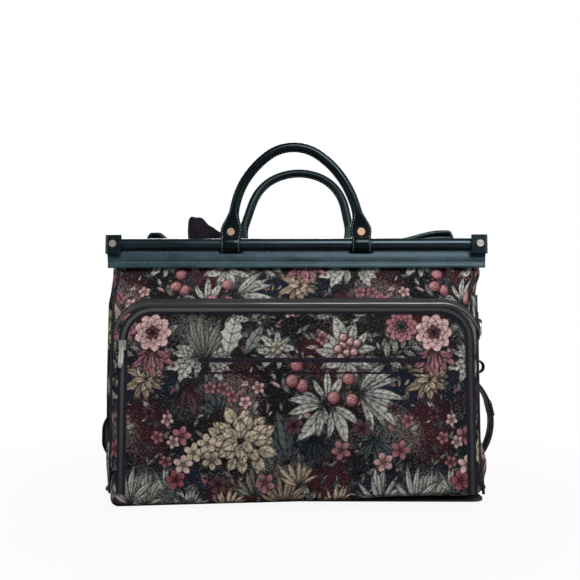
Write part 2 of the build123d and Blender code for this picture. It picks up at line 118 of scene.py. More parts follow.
def rosette(radius, petals, layers, lobe=0.22, bare=0.0):
    """Flower of scalloped rings: each ring's rim is a lobed circle, and its petals part where the rim dips."""

    def shape(x, y):
        far, angle = np.hypot(x, y), np.arctan2(y, x)
        inside = crease = light = None
        for layer in range(layers):
            rim = radius * (1 - 0.66 * layer / layers)
            wave = np.abs(np.cos(angle * petals / 2 + layer * np.pi / 2))
            depth = rim * (1 - lobe + lobe * wave) - far
            parting = np.minimum(np.abs(depth), far * wave * 2 / petals)
            glow = 0.15 + 0.95 * np.clip(far / rim, 0, 1) ** 1.6 - 0.12 * layer
            if layer == 0:
                inside, crease, light = depth, parting, glow
            else:
                crease = np.where(depth > 0, parting, np.minimum(crease, -depth))
                light = np.where(depth > 0, glow, light)
        heart = radius * (0.13 + bare)
        return inside, np.minimum(crease, np.abs(far - heart)), np.where(far < heart, 1.1, light)

    return shape


def berry(radius):
    """Round fruit: a disc, lit at its upper left and creased by the rim of a smaller disc."""

    def shape(x, y):
        far = np.hypot(x, y)
        shine = 1.15 - np.hypot(x + 0.3 * radius, y - 0.35 * radius) / radius
        crease = np.abs(np.hypot(x - 0.3 * radius, y + 0.25 * radius) - 0.55 * radius) + 0.3
        return radius - far, crease, shine

    return shape


def fan(u, v, first, last, count, length, width, light_yarn, deep_yarn, **form):
    """Leaves fanned out from one point between two angles, longest in the middle."""
    for step in range(count):
        way = step / max(count - 1, 1)
        loose = by_hand.uniform(-1, 1, 4)
        size = 0.74 + 0.26 * math.sin(math.pi * way) + 0.16 * loose[0]
        turn = first + (last - first) * way + 7 * loose[1]
        kind = leaf(length * size, width * size * (1 + 0.2 * loose[2]), **{"arch": 0.09 * loose[3], **form})
        lay(u, v, turn, 1.2 * length, kind, light_yarn, deep_yarn)


def branch(u, v, turn, length, pairs, leaf_length, leaf_width, light_yarn, deep_yarn, **form):
    """Pairs of leaves along a straight stem, smaller towards its tip, with one leaf at the end."""
    lay(u, v, turn, length, leaf(length, 2.4, veins=1), sage, umber)
    for step in range(pairs):
        way = (step + 0.4) / pairs
        stem_u = u + way * length * math.cos(math.radians(turn))
        stem_v = v + way * length * math.sin(math.radians(turn))
        size = 1.05 - 0.45 * way
        for hand in (-1, 1):
            kind = leaf(leaf_length * size, leaf_width * size, **form)
            lay(stem_u, stem_v, turn + hand * (62 - 22 * way), leaf_length, kind, light_yarn, deep_yarn)
    tip_u = u + 0.9 * length * math.cos(math.radians(turn))
    tip_v = v + 0.9 * length * math.sin(math.radians(turn))
    lay(tip_u, tip_v, turn, leaf_length, leaf(leaf_length * 0.7, leaf_width * 0.7, **form), light_yarn, deep_yarn)


def bloom(u, v, rings, petal_length, petal_width, light_yarn, deep_yarn):
    """Full flower head: rings of blunt petals, the outer ring woven first."""
    for ring, (count, start) in enumerate(rings):
        for step in range(count):
            loose = by_hand.uniform(-1, 1, 3)
            turn = 360 * (step + 0.5 * (ring % 2)) / count + 11 * ring + 9 * loose[0]
            reach = start * (1 + 0.16 * loose[1])
            petal_u = u + reach * math.cos(math.radians(turn))
            petal_v = v + reach * 0.8 * math.sin(math.radians(turn))
            size = 1 + 0.16 * loose[2]
            petal = leaf(petal_length * size, petal_width * size, veins=2, blunt=0.8)
            lay(petal_u, petal_v, turn + 16 * loose[2], 1.2 * petal_length, petal, light_yarn, deep_yarn)


def ground_fields():
    """Broad fields of dark yarn: each colour gathers where its own slow wave of the repeat runs high."""
    across, up = 2 * np.pi * woven_u / repeat_wide, 2 * np.pi * woven_v / repeat_tall
    field = np.broadcast_to(charcoal, woven["tint"].shape).copy()
    waves = (
        (ink, np.sin(across + 1.2) + np.sin(2 * up + 0.6) + 0.7 * np.sin(3 * across - up)),
        (moss, np.sin(2 * across - up + 2.2) + np.sin(up + 3.0) + 0.6 * np.sin(5 * up + across)),
        (wine, np.sin(across - 2 * up) + np.sin(3 * across + 1.0) + 0.8 * np.sin(2 * up + 2 * across + 4)),
    )
    for colour, wave in waves:
        strength = np.clip((wave - 0.2) * 0.8, 0, 1)[:, :, None]
        field = field * (1 - strength) + colour * strength
    return field


woven["ground"] = ground_fields()


def smoke_fields():
    """Share of pale threads in the ground: soft patches where slow waves of the repeat meet."""
    across, up = 2 * np.pi * woven_u / repeat_wide, 2 * np.pi * woven_v / repeat_tall
    wave = np.sin(2 * across + up + 0.7) + np.sin(across - 3 * up + 2.6) + 0.8 * np.sin(4 * across + 2 * up + 5.1)
    return 0.03 + 0.42 * np.clip(0.6 * wave - 0.2, 0, 1)


woven["smoke"] = smoke_fields()

# Small dull leaves fill the ground before the large motifs are woven over them
scatter = np.random.default_rng(7)
dull_pairs = (
    (slate, teal), (sage, slate), (plum, wine), (silver, slate), (slate, ink), (sage, moss), (sand, umber), (rose, plum),
    (silver, ink), (sage, teal), (blush, plum), (sage, charcoal),
)
for pick in range(640):
    place_u, place_v, turn = scatter.uniform((0, 0, 0), (repeat_wide, repeat_tall, 360))
    light_yarn, deep_yarn = dull_pairs[pick % len(dull_pairs)]
    size = scatter.uniform(9, 22)
    kind = leaf(size, size * scatter.uniform(0.2, 0.42), veins=3, arch=scatter.uniform(-0.1, 0.1))
    lay(place_u, place_v, turn, size, kind, light_yarn, deep_yarn)

# Grasses and shrubs along the foot of the repeat
for tuft_u, tuft_v, count, length, light_yarn, deep_yarn in (
    (9, 2, 11, 50, silver, umber), (322, 4, 11, 56, silver, moss), (366, 8, 9, 50, silver, slate),
    (194, 4, 8, 56, sand, wine), (214, 32, 7, 46, cream, umber), (120, 0, 9, 34, cream, umber),
    (70, 0, 9, 34, silver, umber), (262, 0, 9, 36, cream, wine), (38, 26, 8, 34, silver, umber),
    (289, 44, 7, 36, teal, ink), (334, 52, 7, 34, slate, teal), (154, 18, 7, 40, sage, moss), (236, 54, 6, 40, slate, ink),
):
    fan(tuft_u, tuft_v, 28, 152, count, length, length * 0.16, light_yarn, deep_yarn, veins=1, arch=0.05)
# Dark leaves behind the flowers
fan(106, 126, 60, 145, 5, 48, 16, slate, ink, veins=4)
fan(176, 124, 230, 330, 6, 56, 16, slate, teal, veins=4, arch=0.06)
fan(196, 58, 66, 122, 4, 84, 19, slate, ink, veins=6)
fan(66, 168, 226, 314, 7, 46, 10, plum, wine, veins=3)
fan(236, 100, 200, 340, 7, 44, 13, teal, ink, veins=3)
fan(312, 96, 190, 350, 7, 46, 12, slate, teal, veins=3)
# Sheaf with toothed leaves at its foot
fan(87, 194, 38, 150, 10, 64, 11, sage, umber, veins=1, arch=0.04)
fan(78, 202, 150, 262, 5, 46, 19, silver, slate, veins=5, teeth=0.32)
fan(92, 202, -62, 28, 4, 44, 18, silver, slate, veins=5, teeth=0.32)
lay(116, 200, 78, 66, leaf(64, 32, veins=5, teeth=0.24), silver, sage)
lay(140, 204, 58, 50, leaf(48, 20, veins=4, teeth=0.2), sage, slate)
# Pale leaf sprays
fan(184, 210, 0, 315, 8, 34, 14, silver, slate, veins=3, teeth=0.2)
fan(276, 206, -25, 205, 8, 50, 17, silver, slate, veins=5)
fan(276, 200, 205, 335, 4, 38, 15, silver, sage, veins=4)
branch(326, 196, 30, 58, 5, 24, 11, silver, slate, teeth=0.3)
branch(232, 250, 70, 56, 5, 26, 12, silver, slate, teeth=0.3)
branch(150, 246, 110, 56, 5, 26, 12, silver, sage, teeth=0.3)
branch(40, 262, 60, 52, 5, 24, 11, sage, slate, teeth=0.3)
branch(310, 256, 120, 54, 5, 26, 12, silver, slate, teeth=0.3)
fan(245, 138, 140, 292, 6, 58, 17, silver, slate, veins=5)
fan(250, 146, 60, 120, 3, 44, 14, silver, sage, veins=4)
fan(256, 138, 262, 318, 3, 60, 17, silver, slate, veins=5, arch=0.05)
fan(292, 154, -72, 46, 8, 74, 15, silver, slate, veins=6, arch=0.06)
# Gold leaf burst, mauve leaves and roses
fan(10, 172, 0, 331, 11, 35, 12, sand, umber, veins=2)
fan(10, 172, 16, 347, 7, 20, 9, cream, umber, veins=1)
fan(17, 212, 200, 340, 8, 42, 13, rose, plum, veins=3, teeth=0.25)
lay(17, 234, 0, 27, rosette(26, 9, 3), blush, cranberry)
lay(17, 234, 20, 9, rosette(9, 5, 1, lobe=0.4), plum, wine)
lay(350, 242, 15, 23, rosette(22, 10, 3), rose, cranberry)
lay(350, 242, 0, 8, rosette(8, 6, 1, lobe=0.3), slate, ink)
# Full cream flower of separate petals, and its star flowers
bloom(136, 92, ((13, 27), (10, 15), (6, 4)), 23, 16, cream, umber)
for star_u, star_v, light_yarn, deep_yarn in (
    (74, 76, cream, sand), (92, 88, cream, sand), (60, 60, blush, sand), (98, 66, cream, umber), (50, 40, cherry, wine),
    (58, 98, rose, cranberry), (346, 80, rose, cranberry), (324, 64, blush, cranberry), (296, 108, plum, wine),
    (268, 80, rose, plum), (206, 112, plum, wine), (168, 36, rose, wine), (106, 34, plum, wine),
):
    lay(star_u, star_v, star_u * 5, 15, rosette(14, 5, 1, lobe=0.5, bare=0.05), light_yarn, deep_yarn)
# Berries among the pale leaves
for berry_u, berry_v in ((210, 190), (217, 164), (204, 170), (279, 173), (259, 148), (283, 145)):
    lay(berry_u, berry_v, 0, 10, berry(9), blush * 0.4 + cherry * 0.6, cranberry)
for step in range(9):
    turn = 2.4 * step
    bead_u, bead_v = 276 + 5.6 * math.sqrt(step) * math.cos(turn), 214 + 5.6 * math.sqrt(step) * math.sin(turn)
    lay(bead_u, bead_v, 0, 7, berry(6), blush, cranberry)
# Small blossoms
small_flowers = (
    (95, 161, rose, cranberry), (159, 161, blush, cranberry), (125, 150, rose, cranberry), (142, 142, blush, rose),
    (112, 160, rose, wine), (39, 119, blush, plum), (26, 96, rose, cranberry), (47, 90, blush, cranberry),
    (37, 64, rose, wine), (14, 128, plum, wine), (356, 118, rose, cranberry), (338, 134, plum, wine),
    (200, 262, blush, cranberry), (212, 276, rose, cranberry), (184, 278, rose, wine), (74, 286, blush, cranberry),
    (92, 274, rose, plum), (270, 276, rose, cranberry), (284, 288, blush, plum), (350, 284, rose, cranberry),
    (364, 270, cherry, wine), (130, 292, cream, rose), (184, 214, cream, slate), (244, 226, rose, plum),
)
for flower_u, flower_v, light_yarn, deep_yarn in small_flowers:
    lay(flower_u, flower_v, flower_u * 7, 10, rosette(9.5, 5, 1, lobe=0.45, bare=0.1), light_yarn, deep_yarn)


def print_cloth(u, v):
    """Fields of the repeat at cloth places (u, v) in metres, mixed from the four nearest samples."""
    column, row = u / MM - 0.5, v / MM - 0.5
    left, low = np.floor(column).astype(int), np.floor(row).astype(int)
    across, up = column - left, row - low
    found = {}
    for name, field in woven.items():
        flat = field.reshape(field.shape[0], field.shape[1], -1)
        total = 0
        for step_u, share_u in ((0, 1 - across), (1, across)):
            for step_v, share_v in ((0, 1 - up), (1, up)):
                sample = flat[(low + step_v) % repeat_tall, (left + step_u) % repeat_wide]
                total = total + sample * (share_u * share_v)[..., None]
        found[name] = total
    return found


def sew(name, points, cloth=None, close_columns=False, body="bag", slot="tapestry", smooth=True):
    """Mesh of a grid of points, rows by columns, with its cloth places as UVs and the print as attributes."""
    rows, columns = points.shape[:2]
    index = np.arange(rows * columns).reshape(rows, columns)
    if close_columns:
        index = np.hstack([index, index[:, :1]])
    quads = np.stack([index[:-1, :-1], index[:-1, 1:], index[1:, 1:], index[1:, :-1]], axis=-1).reshape(-1, 4)
    mesh = bpy.data.meshes.new(name)
    mesh.from_pydata(points.reshape(-1, 3).tolist(), [], quads.tolist())
    if cloth is not None:
        u, v = (np.broadcast_to(part, (rows, columns)).ravel() for part in cloth)
        corners = np.stack([u, v], axis=-1)
        if close_columns:
            loop_u = np.hstack([u.reshape(rows, columns), u.reshape(rows, columns)[:, :1] + cloth_girth])
            loop_v = np.hstack([v.reshape(rows, columns), v.reshape(rows, columns)[:, :1]])
            sheet = np.stack([loop_u, loop_v], axis=-1)
            corners = np.stack([sheet[:-1, :-1], sheet[:-1, 1:], sheet[1:, 1:], sheet[1:, :-1]], axis=2).reshape(-1, 2)
        else:
            corners = corners[quads.ravel()]
        layer = mesh.uv_layers.new(name="cloth")
        layer.data.foreach_set("uv", corners.astype(np.float32).ravel())
        fields = print_cloth(u, v)
        for label in ("ground", "tint"):
            colour = np.hstack([fields[label], np.ones((len(u), 1))]).astype(np.float32)
            mesh.attributes.new(label, "FLOAT_COLOR", "POINT").data.foreach_set("color", colour.ravel())
        for label in ("edge", "crease", "smoke"):
            mesh.attributes.new(label, "FLOAT", "POINT").data.foreach_set("value", fields[label].astype(np.float32).ravel())
    mesh.polygons.foreach_set("use_smooth", np.full(len(mesh.polygons), smooth))
    mesh.update()
    piece = bpy.data.objects.new(name, mesh)
    bpy.context.scene.collection.objects.link(piece)
    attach(piece, body)
    return piece


def smooth(value, low, high):
    """Smooth step: 0 below low, 1 above high, with level ends."""
    share = np.clip((value - low) / (high - low), 0, 1)
    return share * share * (3 - 2 * share)


def add_node(tree, kind, inputs=(), **settings):
    """One shader node: its settings, then each input given as (socket, plain value or another node's output)."""
    node = tree.nodes.new(kind)
    for key, value in settings.items():
        setattr(node, key, value)
    for socket, value in inputs:
        if isinstance(value, bpy.types.NodeSocket):
            tree.links.new(value, node.inputs[socket])
        else:
            node.inputs[socket].default_value = value
    return node


def ramp(tree, value, low, high, to_low=0.0, to_high=1.0):
    """Clamped linear map of a value, as a socket."""
    span = (("Value", value), ("From Min", low), ("From Max", high), ("To Min", to_low), ("To Max", to_high))
    return add_node(tree, "ShaderNodeMapRange", span).outputs[0]


def sums(tree, operation, first, second):
    return add_node(tree, "ShaderNodeMath", ((0, first), (1, second)), operation=operation).outputs[0]


def new_material(name, **sockets):
    """Material with one Principled shader, its same-everywhere values set on the shader's own sockets."""
    material = bpy.data.materials.new(name)
    material.use_nodes = True
    shader = material.node_tree.nodes["Principled BSDF"]
    for socket, value in sockets.items():
        shader.inputs[socket.replace("_", " ")].default_value = value
    return material, material.node_tree, shader


def link_bump(tree, shader, height, strength, distance):
    bump = add_node(tree, "ShaderNodeBump", (("Height", height), ("Strength", strength), ("Distance", distance)))
    tree.links.new(bump.outputs[0], shader.inputs["Normal"])


def noise(tree, scale, detail):
    """Noise over the object's own places."""
    place = add_node(tree, "ShaderNodeTexCoord").outputs["Object"]
    fit = (("Vector", place), ("Scale", scale), ("Detail", detail))
    return add_node(tree, "ShaderNodeTexNoise", fit).outputs["Fac"]


def two_tones(tree, shader, share, deep, light, low=0.0, high=1.0):
    """Base colour that runs from deep to light as the share runs from low to high."""
    tone = add_node(tree, "ShaderNodeValToRGB", ((0, share),))
    first, last = tone.color_ramp.elements
    first.position, last.position = low, high
    first.color, last.color = (*deep, 1), (*light, 1)
    tree.links.new(tone.outputs[0], shader.inputs["Base Color"])


def tapestry_cloth(name, shade_dim=1.0):
    """Woven print: thread cells jitter the motif outlines, speckle the yarns and rib the surface. A dimming factor
    below one darkens every tone, a painted shade.
    """
    material, tree, shader = new_material(name, Roughness=0.95, Specular_IOR_Level=0.0, Sheen_Weight=0.0)
    place = add_node(tree, "ShaderNodeUVMap", uv_map="cloth").outputs[0]
    thread = (1 / (1.15 * MM), 1 / (0.75 * MM), 1)
    cell = add_node(tree, "ShaderNodeMapping", (("Vector", place), ("Scale", thread))).outputs[0]
    stitch = add_node(tree, "ShaderNodeVectorMath", ((0, cell),), operation="FLOOR").outputs[0]
    chance = add_node(tree, "ShaderNodeTexWhiteNoise", (("Vector", stitch),), noise_dimensions="2D")
    moved = add_node(tree, "ShaderNodeVectorMath", ((0, stitch), (1, (31.7, 11.3, 0))), operation="ADD").outputs[0]
    other = add_node(tree, "ShaderNodeTexWhiteNoise", (("Vector", moved),), noise_dimensions="2D").outputs["Value"]
    jitter = ramp(tree, chance.outputs["Value"], 0, 1, -0.55, 0.55)
    field = {label: add_node(tree, "ShaderNodeAttribute", attribute_name=label) for label in woven}
    edge = sums(tree, "ADD", field["edge"].outputs["Fac"], jitter)
    crease = sums(tree, "ADD", field["crease"].outputs["Fac"], sums(tree, "MULTIPLY", jitter, 0.5))
    rim = ramp(tree, edge, 0.4, 1.6, 0.12, 1)
    vein = ramp(tree, crease, 0.3, 1.25, 0.16, 1)
    speck = ramp(tree, other, 0, 1, 0.6, 1.5)
    tone = sums(tree, "MULTIPLY", sums(tree, "MULTIPLY", rim, vein), speck)
    motif = add_node(tree, "ShaderNodeVectorMath", ((0, field["tint"].outputs["Color"]), ("Scale", tone)), operation="SCALE")
    ground_tone = ramp(tree, other, 0, 1, 0.35 * shade_dim, 1.25 * shade_dim)
    ground_inputs = ((0, field["ground"].outputs["Color"]), ("Scale", ground_tone))
    bare = add_node(tree, "ShaderNodeVectorMath", ground_inputs, operation="SCALE").outputs[0]
    third = add_node(tree, "ShaderNodeVectorMath", ((0, stitch), (1, (7.9, 53.1, 0))), operation="ADD").outputs[0]
    strand = add_node(tree, "ShaderNodeTexWhiteNoise", (("Vector", third),), noise_dimensions="2D").outputs["Value"]
    pale = sums(tree, "LESS_THAN", strand, field["smoke"].outputs["Fac"])
    ground = add_node(tree, "ShaderNodeMix", data_type="RGBA")
    tree.links.new(sums(tree, "MULTIPLY", pale, 0.55 * shade_dim), ground.inputs[0])
    tree.links.new(bare, ground.inputs[6])
    ground.inputs[7].default_value = (*sage, 1)
    cover = ramp(tree, edge, -0.1, 0.3)
    dropped = ramp(tree, chance.outputs["Value"], 0.84, 0.9, 1, 0.45)
    share = sums(tree, "MULTIPLY", cover, sums(tree, "MULTIPLY", dropped, shade_dim))
    colour = add_node(tree, "ShaderNodeMix", data_type="RGBA")
    tree.links.new(share, colour.inputs[0])
    tree.links.new(ground.outputs[2], colour.inputs[6])
    tree.links.new(motif.outputs[0], colour.inputs[7])
    tree.links.new(colour.outputs[2], shader.inputs["Base Color"])
    rib = add_node(tree, "ShaderNodeTexWave", (("Vector", cell), ("Scale", 0.5)), bands_direction="Y").outputs["Fac"]
    height = sums(tree, "ADD", sums(tree, "MULTIPLY", cover, 0.6), sums(tree, "ADD", rib, other))
    link_bump(tree, shader, height, 0.35, 0.5 * MM)
    return material


# The bag is a sewn shell of tapestry over a stiff base board, turned under at its foot and gathered at
# its slanted shoulders into the leather bands of the two rails. Its sides run up behind the end tabs.
bag_low, bag_high = (np.array(corner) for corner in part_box("main_bag"))
half_wide, half_deep = (bag_high[:2] - bag_low[:2]) / 2
bag_columns, bag_rows = 720, 130
corner_power = 16
foot_roll = 0.009
shoulder_start = 0.272
band_tuck = 0.0530
gusset_rise = 0.026


def girth_points(columns):
    """Points evenly spaced round a squared-off oval, counter-clockwise from the back seen from above."""
    angle = np.pi / 2 + np.linspace(0, 2 * np.pi, 4001)
    x = half_wide * np.sign(np.cos(angle)) * np.abs(np.cos(angle)) ** (2 / corner_power)
    y = half_deep * np.sign(np.sin(angle)) * np.abs(np.sin(angle)) ** (2 / corner_power)
    run = np.concatenate([[0], np.cumsum(np.hypot(np.diff(x), np.diff(y)))])
    even = np.linspace(0, run[-1], columns + 1)[:-1]
    return np.interp(even, run, x), np.interp(even, run, y), even, run[-1]


girth_x, girth_y, girth_run, girth_length = girth_points(bag_columns)
cloth_girth = 4 * repeat_wide * MM
cloth_u = girth_run / girth_length * cloth_girth - cloth_girth / 2


def slack(u, v, reach, seed):
    """Soft creases of hung cloth: a few slow waves of the cloth places, with seeded lengths and phases."""
    draw = np.random.default_rng(seed)
    total = 0
    for wave in range(7):
        across, up, phase = draw.uniform((8, 6, 0), (46, 30, 6.28))
        total = total + np.sin(across * u + up * v * draw.choice((-1, 1)) + phase) / (1 + 0.4 * wave)
    return reach * total / 3


def bag_shell(x, y, height):
    """Place of the shell over a girth point at a share of its height.

    The foot turns under in a quarter round, the walls belly out a little, and above the shoulder the depth
    eases in to the bands while the end gussets rise behind the end tabs.
    """
    turn = np.clip(height / 0.03, 0, 1) * np.pi / 2
    rise = np.clip((height - 0.03) / 0.97, 0, 1)
    side = smooth(np.abs(x), half_wide - 0.022, half_wide - 0.004)
    top = bag_high[2] + 0.004 + gusset_rise * side
    z = bag_low[2] + foot_roll * np.sin(turn) + (top - bag_low[2] - foot_roll) * rise
    inset = foot_roll * (1 - np.cos(np.pi / 2 - turn)) * 1.6
    belly = np.sin(np.pi * np.clip(z / shoulder_start, 0, 1))
    lean = smooth(z, shoulder_start, bag_high[2] + 0.002)
    front = smooth(-y, 0.045, 0.1)
    right = smooth(x, 0.2, half_wide)
    pull = 0.013 * smooth(z, 0.04, 0.11) * (1 - smooth(z, 0.29, 0.325))
    low = 1 - smooth(z, 0.02, 0.06)
    toe = (0.0045 * np.sign(x) + 0.0015) * smooth(np.abs(x), 0.2, half_wide) * low
    spread = 1 + 0.032 * smooth(z, 0.280, 0.325)
    wide = x * (1 - inset / half_wide) * spread - front * (right * pull + toe)
    deep = y / half_deep * ((half_deep - inset) * (1 - lean) + band_tuck * lean) * (1 + 0.012 * belly)
    heel = 0.003 * smooth(x, 0, 0.15) * front * (1 - smooth(z, 0.015, 0.06))
    return wide, deep, z + heel


def bag_points():
    height = np.linspace(0, 1, bag_rows)[:, None]
    x, y, z = bag_shell(girth_x[None, :], girth_y[None, :], height)
    run_v = np.linspace(-0.14, 0.205, bag_rows)[:, None]
    normal_x, normal_y = girth_x / half_wide, girth_y / half_deep
    normal_x, normal_y = np.sign(normal_x) * np.abs(normal_x) ** 8, np.sign(normal_y) * np.abs(normal_y) ** 8
    free = smooth(z, 0.02, 0.06) * (1 - smooth(z, 0.312, 0.328))
    on_face = 1 - smooth(-y, 0.104, 0.108) * (np.abs(x) < 0.25) * (z < 0.285)
    puff = slack(cloth_u[None, :], run_v, 0.0022, 3) * free * on_face
    gather = 0.0011 * np.sin(cloth_u[None, :] * 190) * smooth(z, 0.29, 0.318) * (1 - smooth(z, 0.322, 0.33))
    x = x + normal_x * np.minimum(puff, 0.0008)
    y = y + normal_y * (puff + gather)
    return np.stack(np.broadcast_arrays(x, y, z), axis=-1), run_v


bag_grid, bag_run = bag_points()
bag = sew("tapestry_bag", bag_grid, cloth=(cloth_u[None, :], bag_run), close_columns=True)
bag.data.materials.append(tapestry_cloth("tapestry_cloth"))
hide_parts("main_bag")


def tube(name, path, radius, hint, sides=10, flat=1.0, closed=False, **fit):
    """Cord along a path: rings of even points, round or flattened along the hint, square to the way ahead."""
    if closed:
        ahead = np.roll(path, -1, axis=0) - np.roll(path, 1, axis=0)
    else:
        ahead = np.gradient(path, axis=0)
    ahead = ahead / np.linalg.norm(ahead, axis=1, keepdims=True)
    side = np.cross(ahead, np.broadcast_to(hint, path.shape))
    side = side / np.linalg.norm(side, axis=1, keepdims=True)
    over = np.cross(side, ahead)
    angle = 2 * np.pi * np.arange(sides)[None, :, None] / sides
    size = np.broadcast_to(radius, len(path))[:, None, None]
    ring = np.cos(angle) * side[:, None, :] - flat * np.sin(angle) * over[:, None, :]
    grid = path[:, None, :] + size * ring
    if closed:
        grid = np.concatenate([grid, grid[:1]])
    else:
        grid = np.concatenate([np.repeat(path[:1, None], sides, 1), grid, np.repeat(path[-1:, None], sides, 1)])
    return sew(name, grid, close_columns=True, **fit)


# The front pocket is a boxed pouch of the same tapestry, its round upper corners and its foot rolled back
# to the bag's face. A zip is let in all round it; above the zip its top is a shiny vinyl roll.
pocket_low, pocket_high = (np.array(corner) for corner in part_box("front_pocket"))
pocket_low[2] -= 0.0015
pocket_half = (pocket_high[0] - pocket_low[0]) / 2 + 0.004
pocket_thick = pocket_high[1] - pocket_low[1] - 0.0003
pocket_round, pocket_foot = 0.055, 0.014
pocket_roll = 0.010
print_shift = 0.209
foot_slope = 0.029


def foot_rise(x):
    """Lift of the pocket's foot towards the right: a slope, and a little more past the middle."""
    return foot_slope * x + 0.0030 * smooth(x, 0, 0.15)


def drawn_in(x, z):
    """Places across the pocket with its right edge drawn in between foot and shoulder."""
    return x - 0.0042 * smooth(x, 0.19, 0.25) * smooth(z, 0.02, 0.08) * (1 - smooth(z, 0.225, 0.26))


def pocket_outline(inset, foot, spacing=0.002):
    """Evenly spaced places and inward directions up the left side, round the top and down the right side."""
    half, top, bend = pocket_half - inset, pocket_high[2] - inset, pocket_round - inset
    turn = np.linspace(0, np.pi / 2, 60)
    left = np.stack([-(half - bend) - bend * np.cos(turn), top - bend + bend * np.sin(turn)], axis=-1)
    corner = np.concatenate([[[-half, foot]], left, (left * (-1, 1))[::-1], [[half, foot]]])
    run = np.concatenate([[0], np.cumsum(np.linalg.norm(np.diff(corner, axis=0), axis=1))])
    even = np.linspace(0, run[-1], int(run[-1] / spacing))
    x, z = (np.interp(even, run, part) for part in corner.T)
    ahead = np.gradient(np.stack([x, z], axis=-1), axis=0)
    ahead /= np.linalg.norm(ahead, axis=1, keepdims=True)
    return x, z, ahead[:, 1], -ahead[:, 0], even


def pocket_inset(x, z):
    """Distance in from the pocket's outline: a box with large rounds above and small ones below."""
    found = []
    foot_z = pocket_low[2] + foot_rise(x) + pocket_foot
    for bend, rise in ((pocket_round, z - (pocket_high[2] - pocket_round)), (pocket_foot, foot_z - z)):
        over = np.abs(x) - (pocket_half - bend)
        outside = np.hypot(np.maximum(over, 0), np.maximum(rise, 0))
        found.append(bend - outside - np.minimum(np.maximum(over, rise), 0))
    return np.minimum(*found)


def pocket_face(x, z):
    """Front face of the pocket: a quarter roll at the outline, a flat seat for the zip, then a soft crown."""
    inset = np.maximum(pocket_inset(x, z), 0)
    roll = np.sqrt(np.clip(1 - (1 - np.clip(inset / pocket_roll, 0, 1)) ** 2, 0, 1))
    crown = smooth(inset, 0.027, 0.08)
    full = 0.0052 + 0.0022 * np.cos((z - 0.1) * 16)
    crease = slack(x, z, 0.0016, 5) * smooth(inset, 0.028, 0.06)
    mouth = np.exp(-(((z - welt_top) / 0.003) ** 2)) * smooth(welt_half - np.abs(x - welt_middle), 0, 0.02)
    return pocket_high[1] - pocket_thick * roll - crown * full - crease + 0.0022 * mouth


welt_middle, welt_half, welt_top, welt_foot = 0.022, 0.152, 0.2015, 0.1805
share_x = np.linspace(-1, 1, 396)[None, :]
share_z = np.linspace(0, 1, 216)[:, None]
ease_x = share_x * (1.12 - 0.12 * share_x**2)
ease_z = 0.5 + (share_z - 0.5) * (1.1 - 0.4 * (share_z - 0.5) ** 2)
pocket_z = pocket_low[2] + (pocket_high[2] - pocket_low[2]) * ease_z
above = np.clip(pocket_z - (pocket_high[2] - pocket_round), 0, pocket_round)
below = np.clip(pocket_low[2] + pocket_foot - pocket_z, 0, pocket_foot)
row_half = pocket_half - (pocket_round - np.sqrt(pocket_round**2 - above**2))
row_half = row_half - (pocket_foot - np.sqrt(pocket_foot**2 - below**2))
pocket_x = ease_x * row_half
pocket_z = np.broadcast_to(pocket_z, pocket_x.shape)
pocket_z = pocket_z + foot_rise(pocket_x) * (1 - smooth(ease_z, 0, 0.5))
pocket_grid = np.stack([drawn_in(pocket_x, pocket_z), pocket_face(pocket_x, pocket_z), pocket_z], axis=-1)
# The print runs on over the rolled edges, so cloth places move outwards as the face turns back
turned_x = np.sign(pocket_x) * np.maximum(np.abs(pocket_x) - (pocket_half - pocket_round), 0)
turned_z = np.maximum(pocket_z - (pocket_high[2] - pocket_round), 0)
turned_z = turned_z - np.maximum(pocket_low[2] + foot_rise(pocket_x) + pocket_foot - pocket_z, 0)
back = np.maximum(pocket_grid[..., 1] - pocket_high[1] + pocket_thick, 0) / (np.hypot(turned_x, turned_z) + MM)
pocket_places = pocket_x + print_shift + turned_x * back, pocket_z + turned_z * back
# At both sides a hem of the same cloth runs back and in to the bag, which closes the pouch
left_hem = pocket_grid[:, :1] + (0.024, 0.018, 0)
right_hem = pocket_grid[:, -1:] + (-0.024, 0.018, 0)
pocket_grid = np.concatenate([left_hem, pocket_grid, right_hem], axis=1)
pocket_places = [np.pad(place, ((0, 0), (1, 1)), mode="edge") for place in pocket_places]
pocket_places[0][:, 0] -= 0.030
pocket_places[0][:, -1] += 0.030
pocket = sew("tapestry_pocket", pocket_grid, cloth=pocket_places)
pocket.data.materials.append(bpy.data.materials["tapestry_cloth"])
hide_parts("front_pocket")

# The slip pocket's welt is a folded strip of the tapestry sewn across the face; its print is dimmed all over, a painted
# shade
welt_x = np.linspace(welt_middle - welt_half, welt_middle + welt_half, 240)[None, :]
welt_z = np.linspace(welt_foot, welt_top - 0.0065, 16)[:, None]
bulge = np.sqrt(np.clip(1 - np.linspace(-1, 1, 16)[:, None] ** 4, 0, 1))
welt_end = smooth(welt_half - np.abs(welt_x - welt_middle), 0, 0.004)
welt_y = pocket_face(welt_x, welt_z) + 0.0006 - 0.0022 * bulge * welt_end
welt_grid = np.stack(np.broadcast_arrays(welt_x, welt_y, welt_z), axis=-1)
welt = sew("slip_welt", welt_grid, cloth=(welt_x + print_shift, welt_z + 0 * welt_x))
welt.data.materials.append(tapestry_cloth("painted_shade_cloth", shade_dim=0.84))
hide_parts("slip_pocket_welt")

# Vinyl roll over the zip along the pocket's top, thinning out round both corners
vinyl, tree, shader = new_material("vinyl", Roughness=0.3, Coat_Weight=0.35, Coat_Roughness=0.18)
place = add_node(tree, "ShaderNodeTexCoord").outputs["Object"]
grain = add_node(tree, "ShaderNodeTexNoise", (("Vector", place), ("Scale", 900), ("Detail", 3)))
cloud = add_node(tree, "ShaderNodeTexNoise", (("Vector", place), ("Scale", 38), ("Detail", 2)))
two_tones(tree, shader, cloud.outputs["Fac"], (0.008, 0.008, 0.009), (0.030, 0.028, 0.028))
link_bump(tree, shader, grain.outputs["Fac"], 0.12, 0.3 * MM)

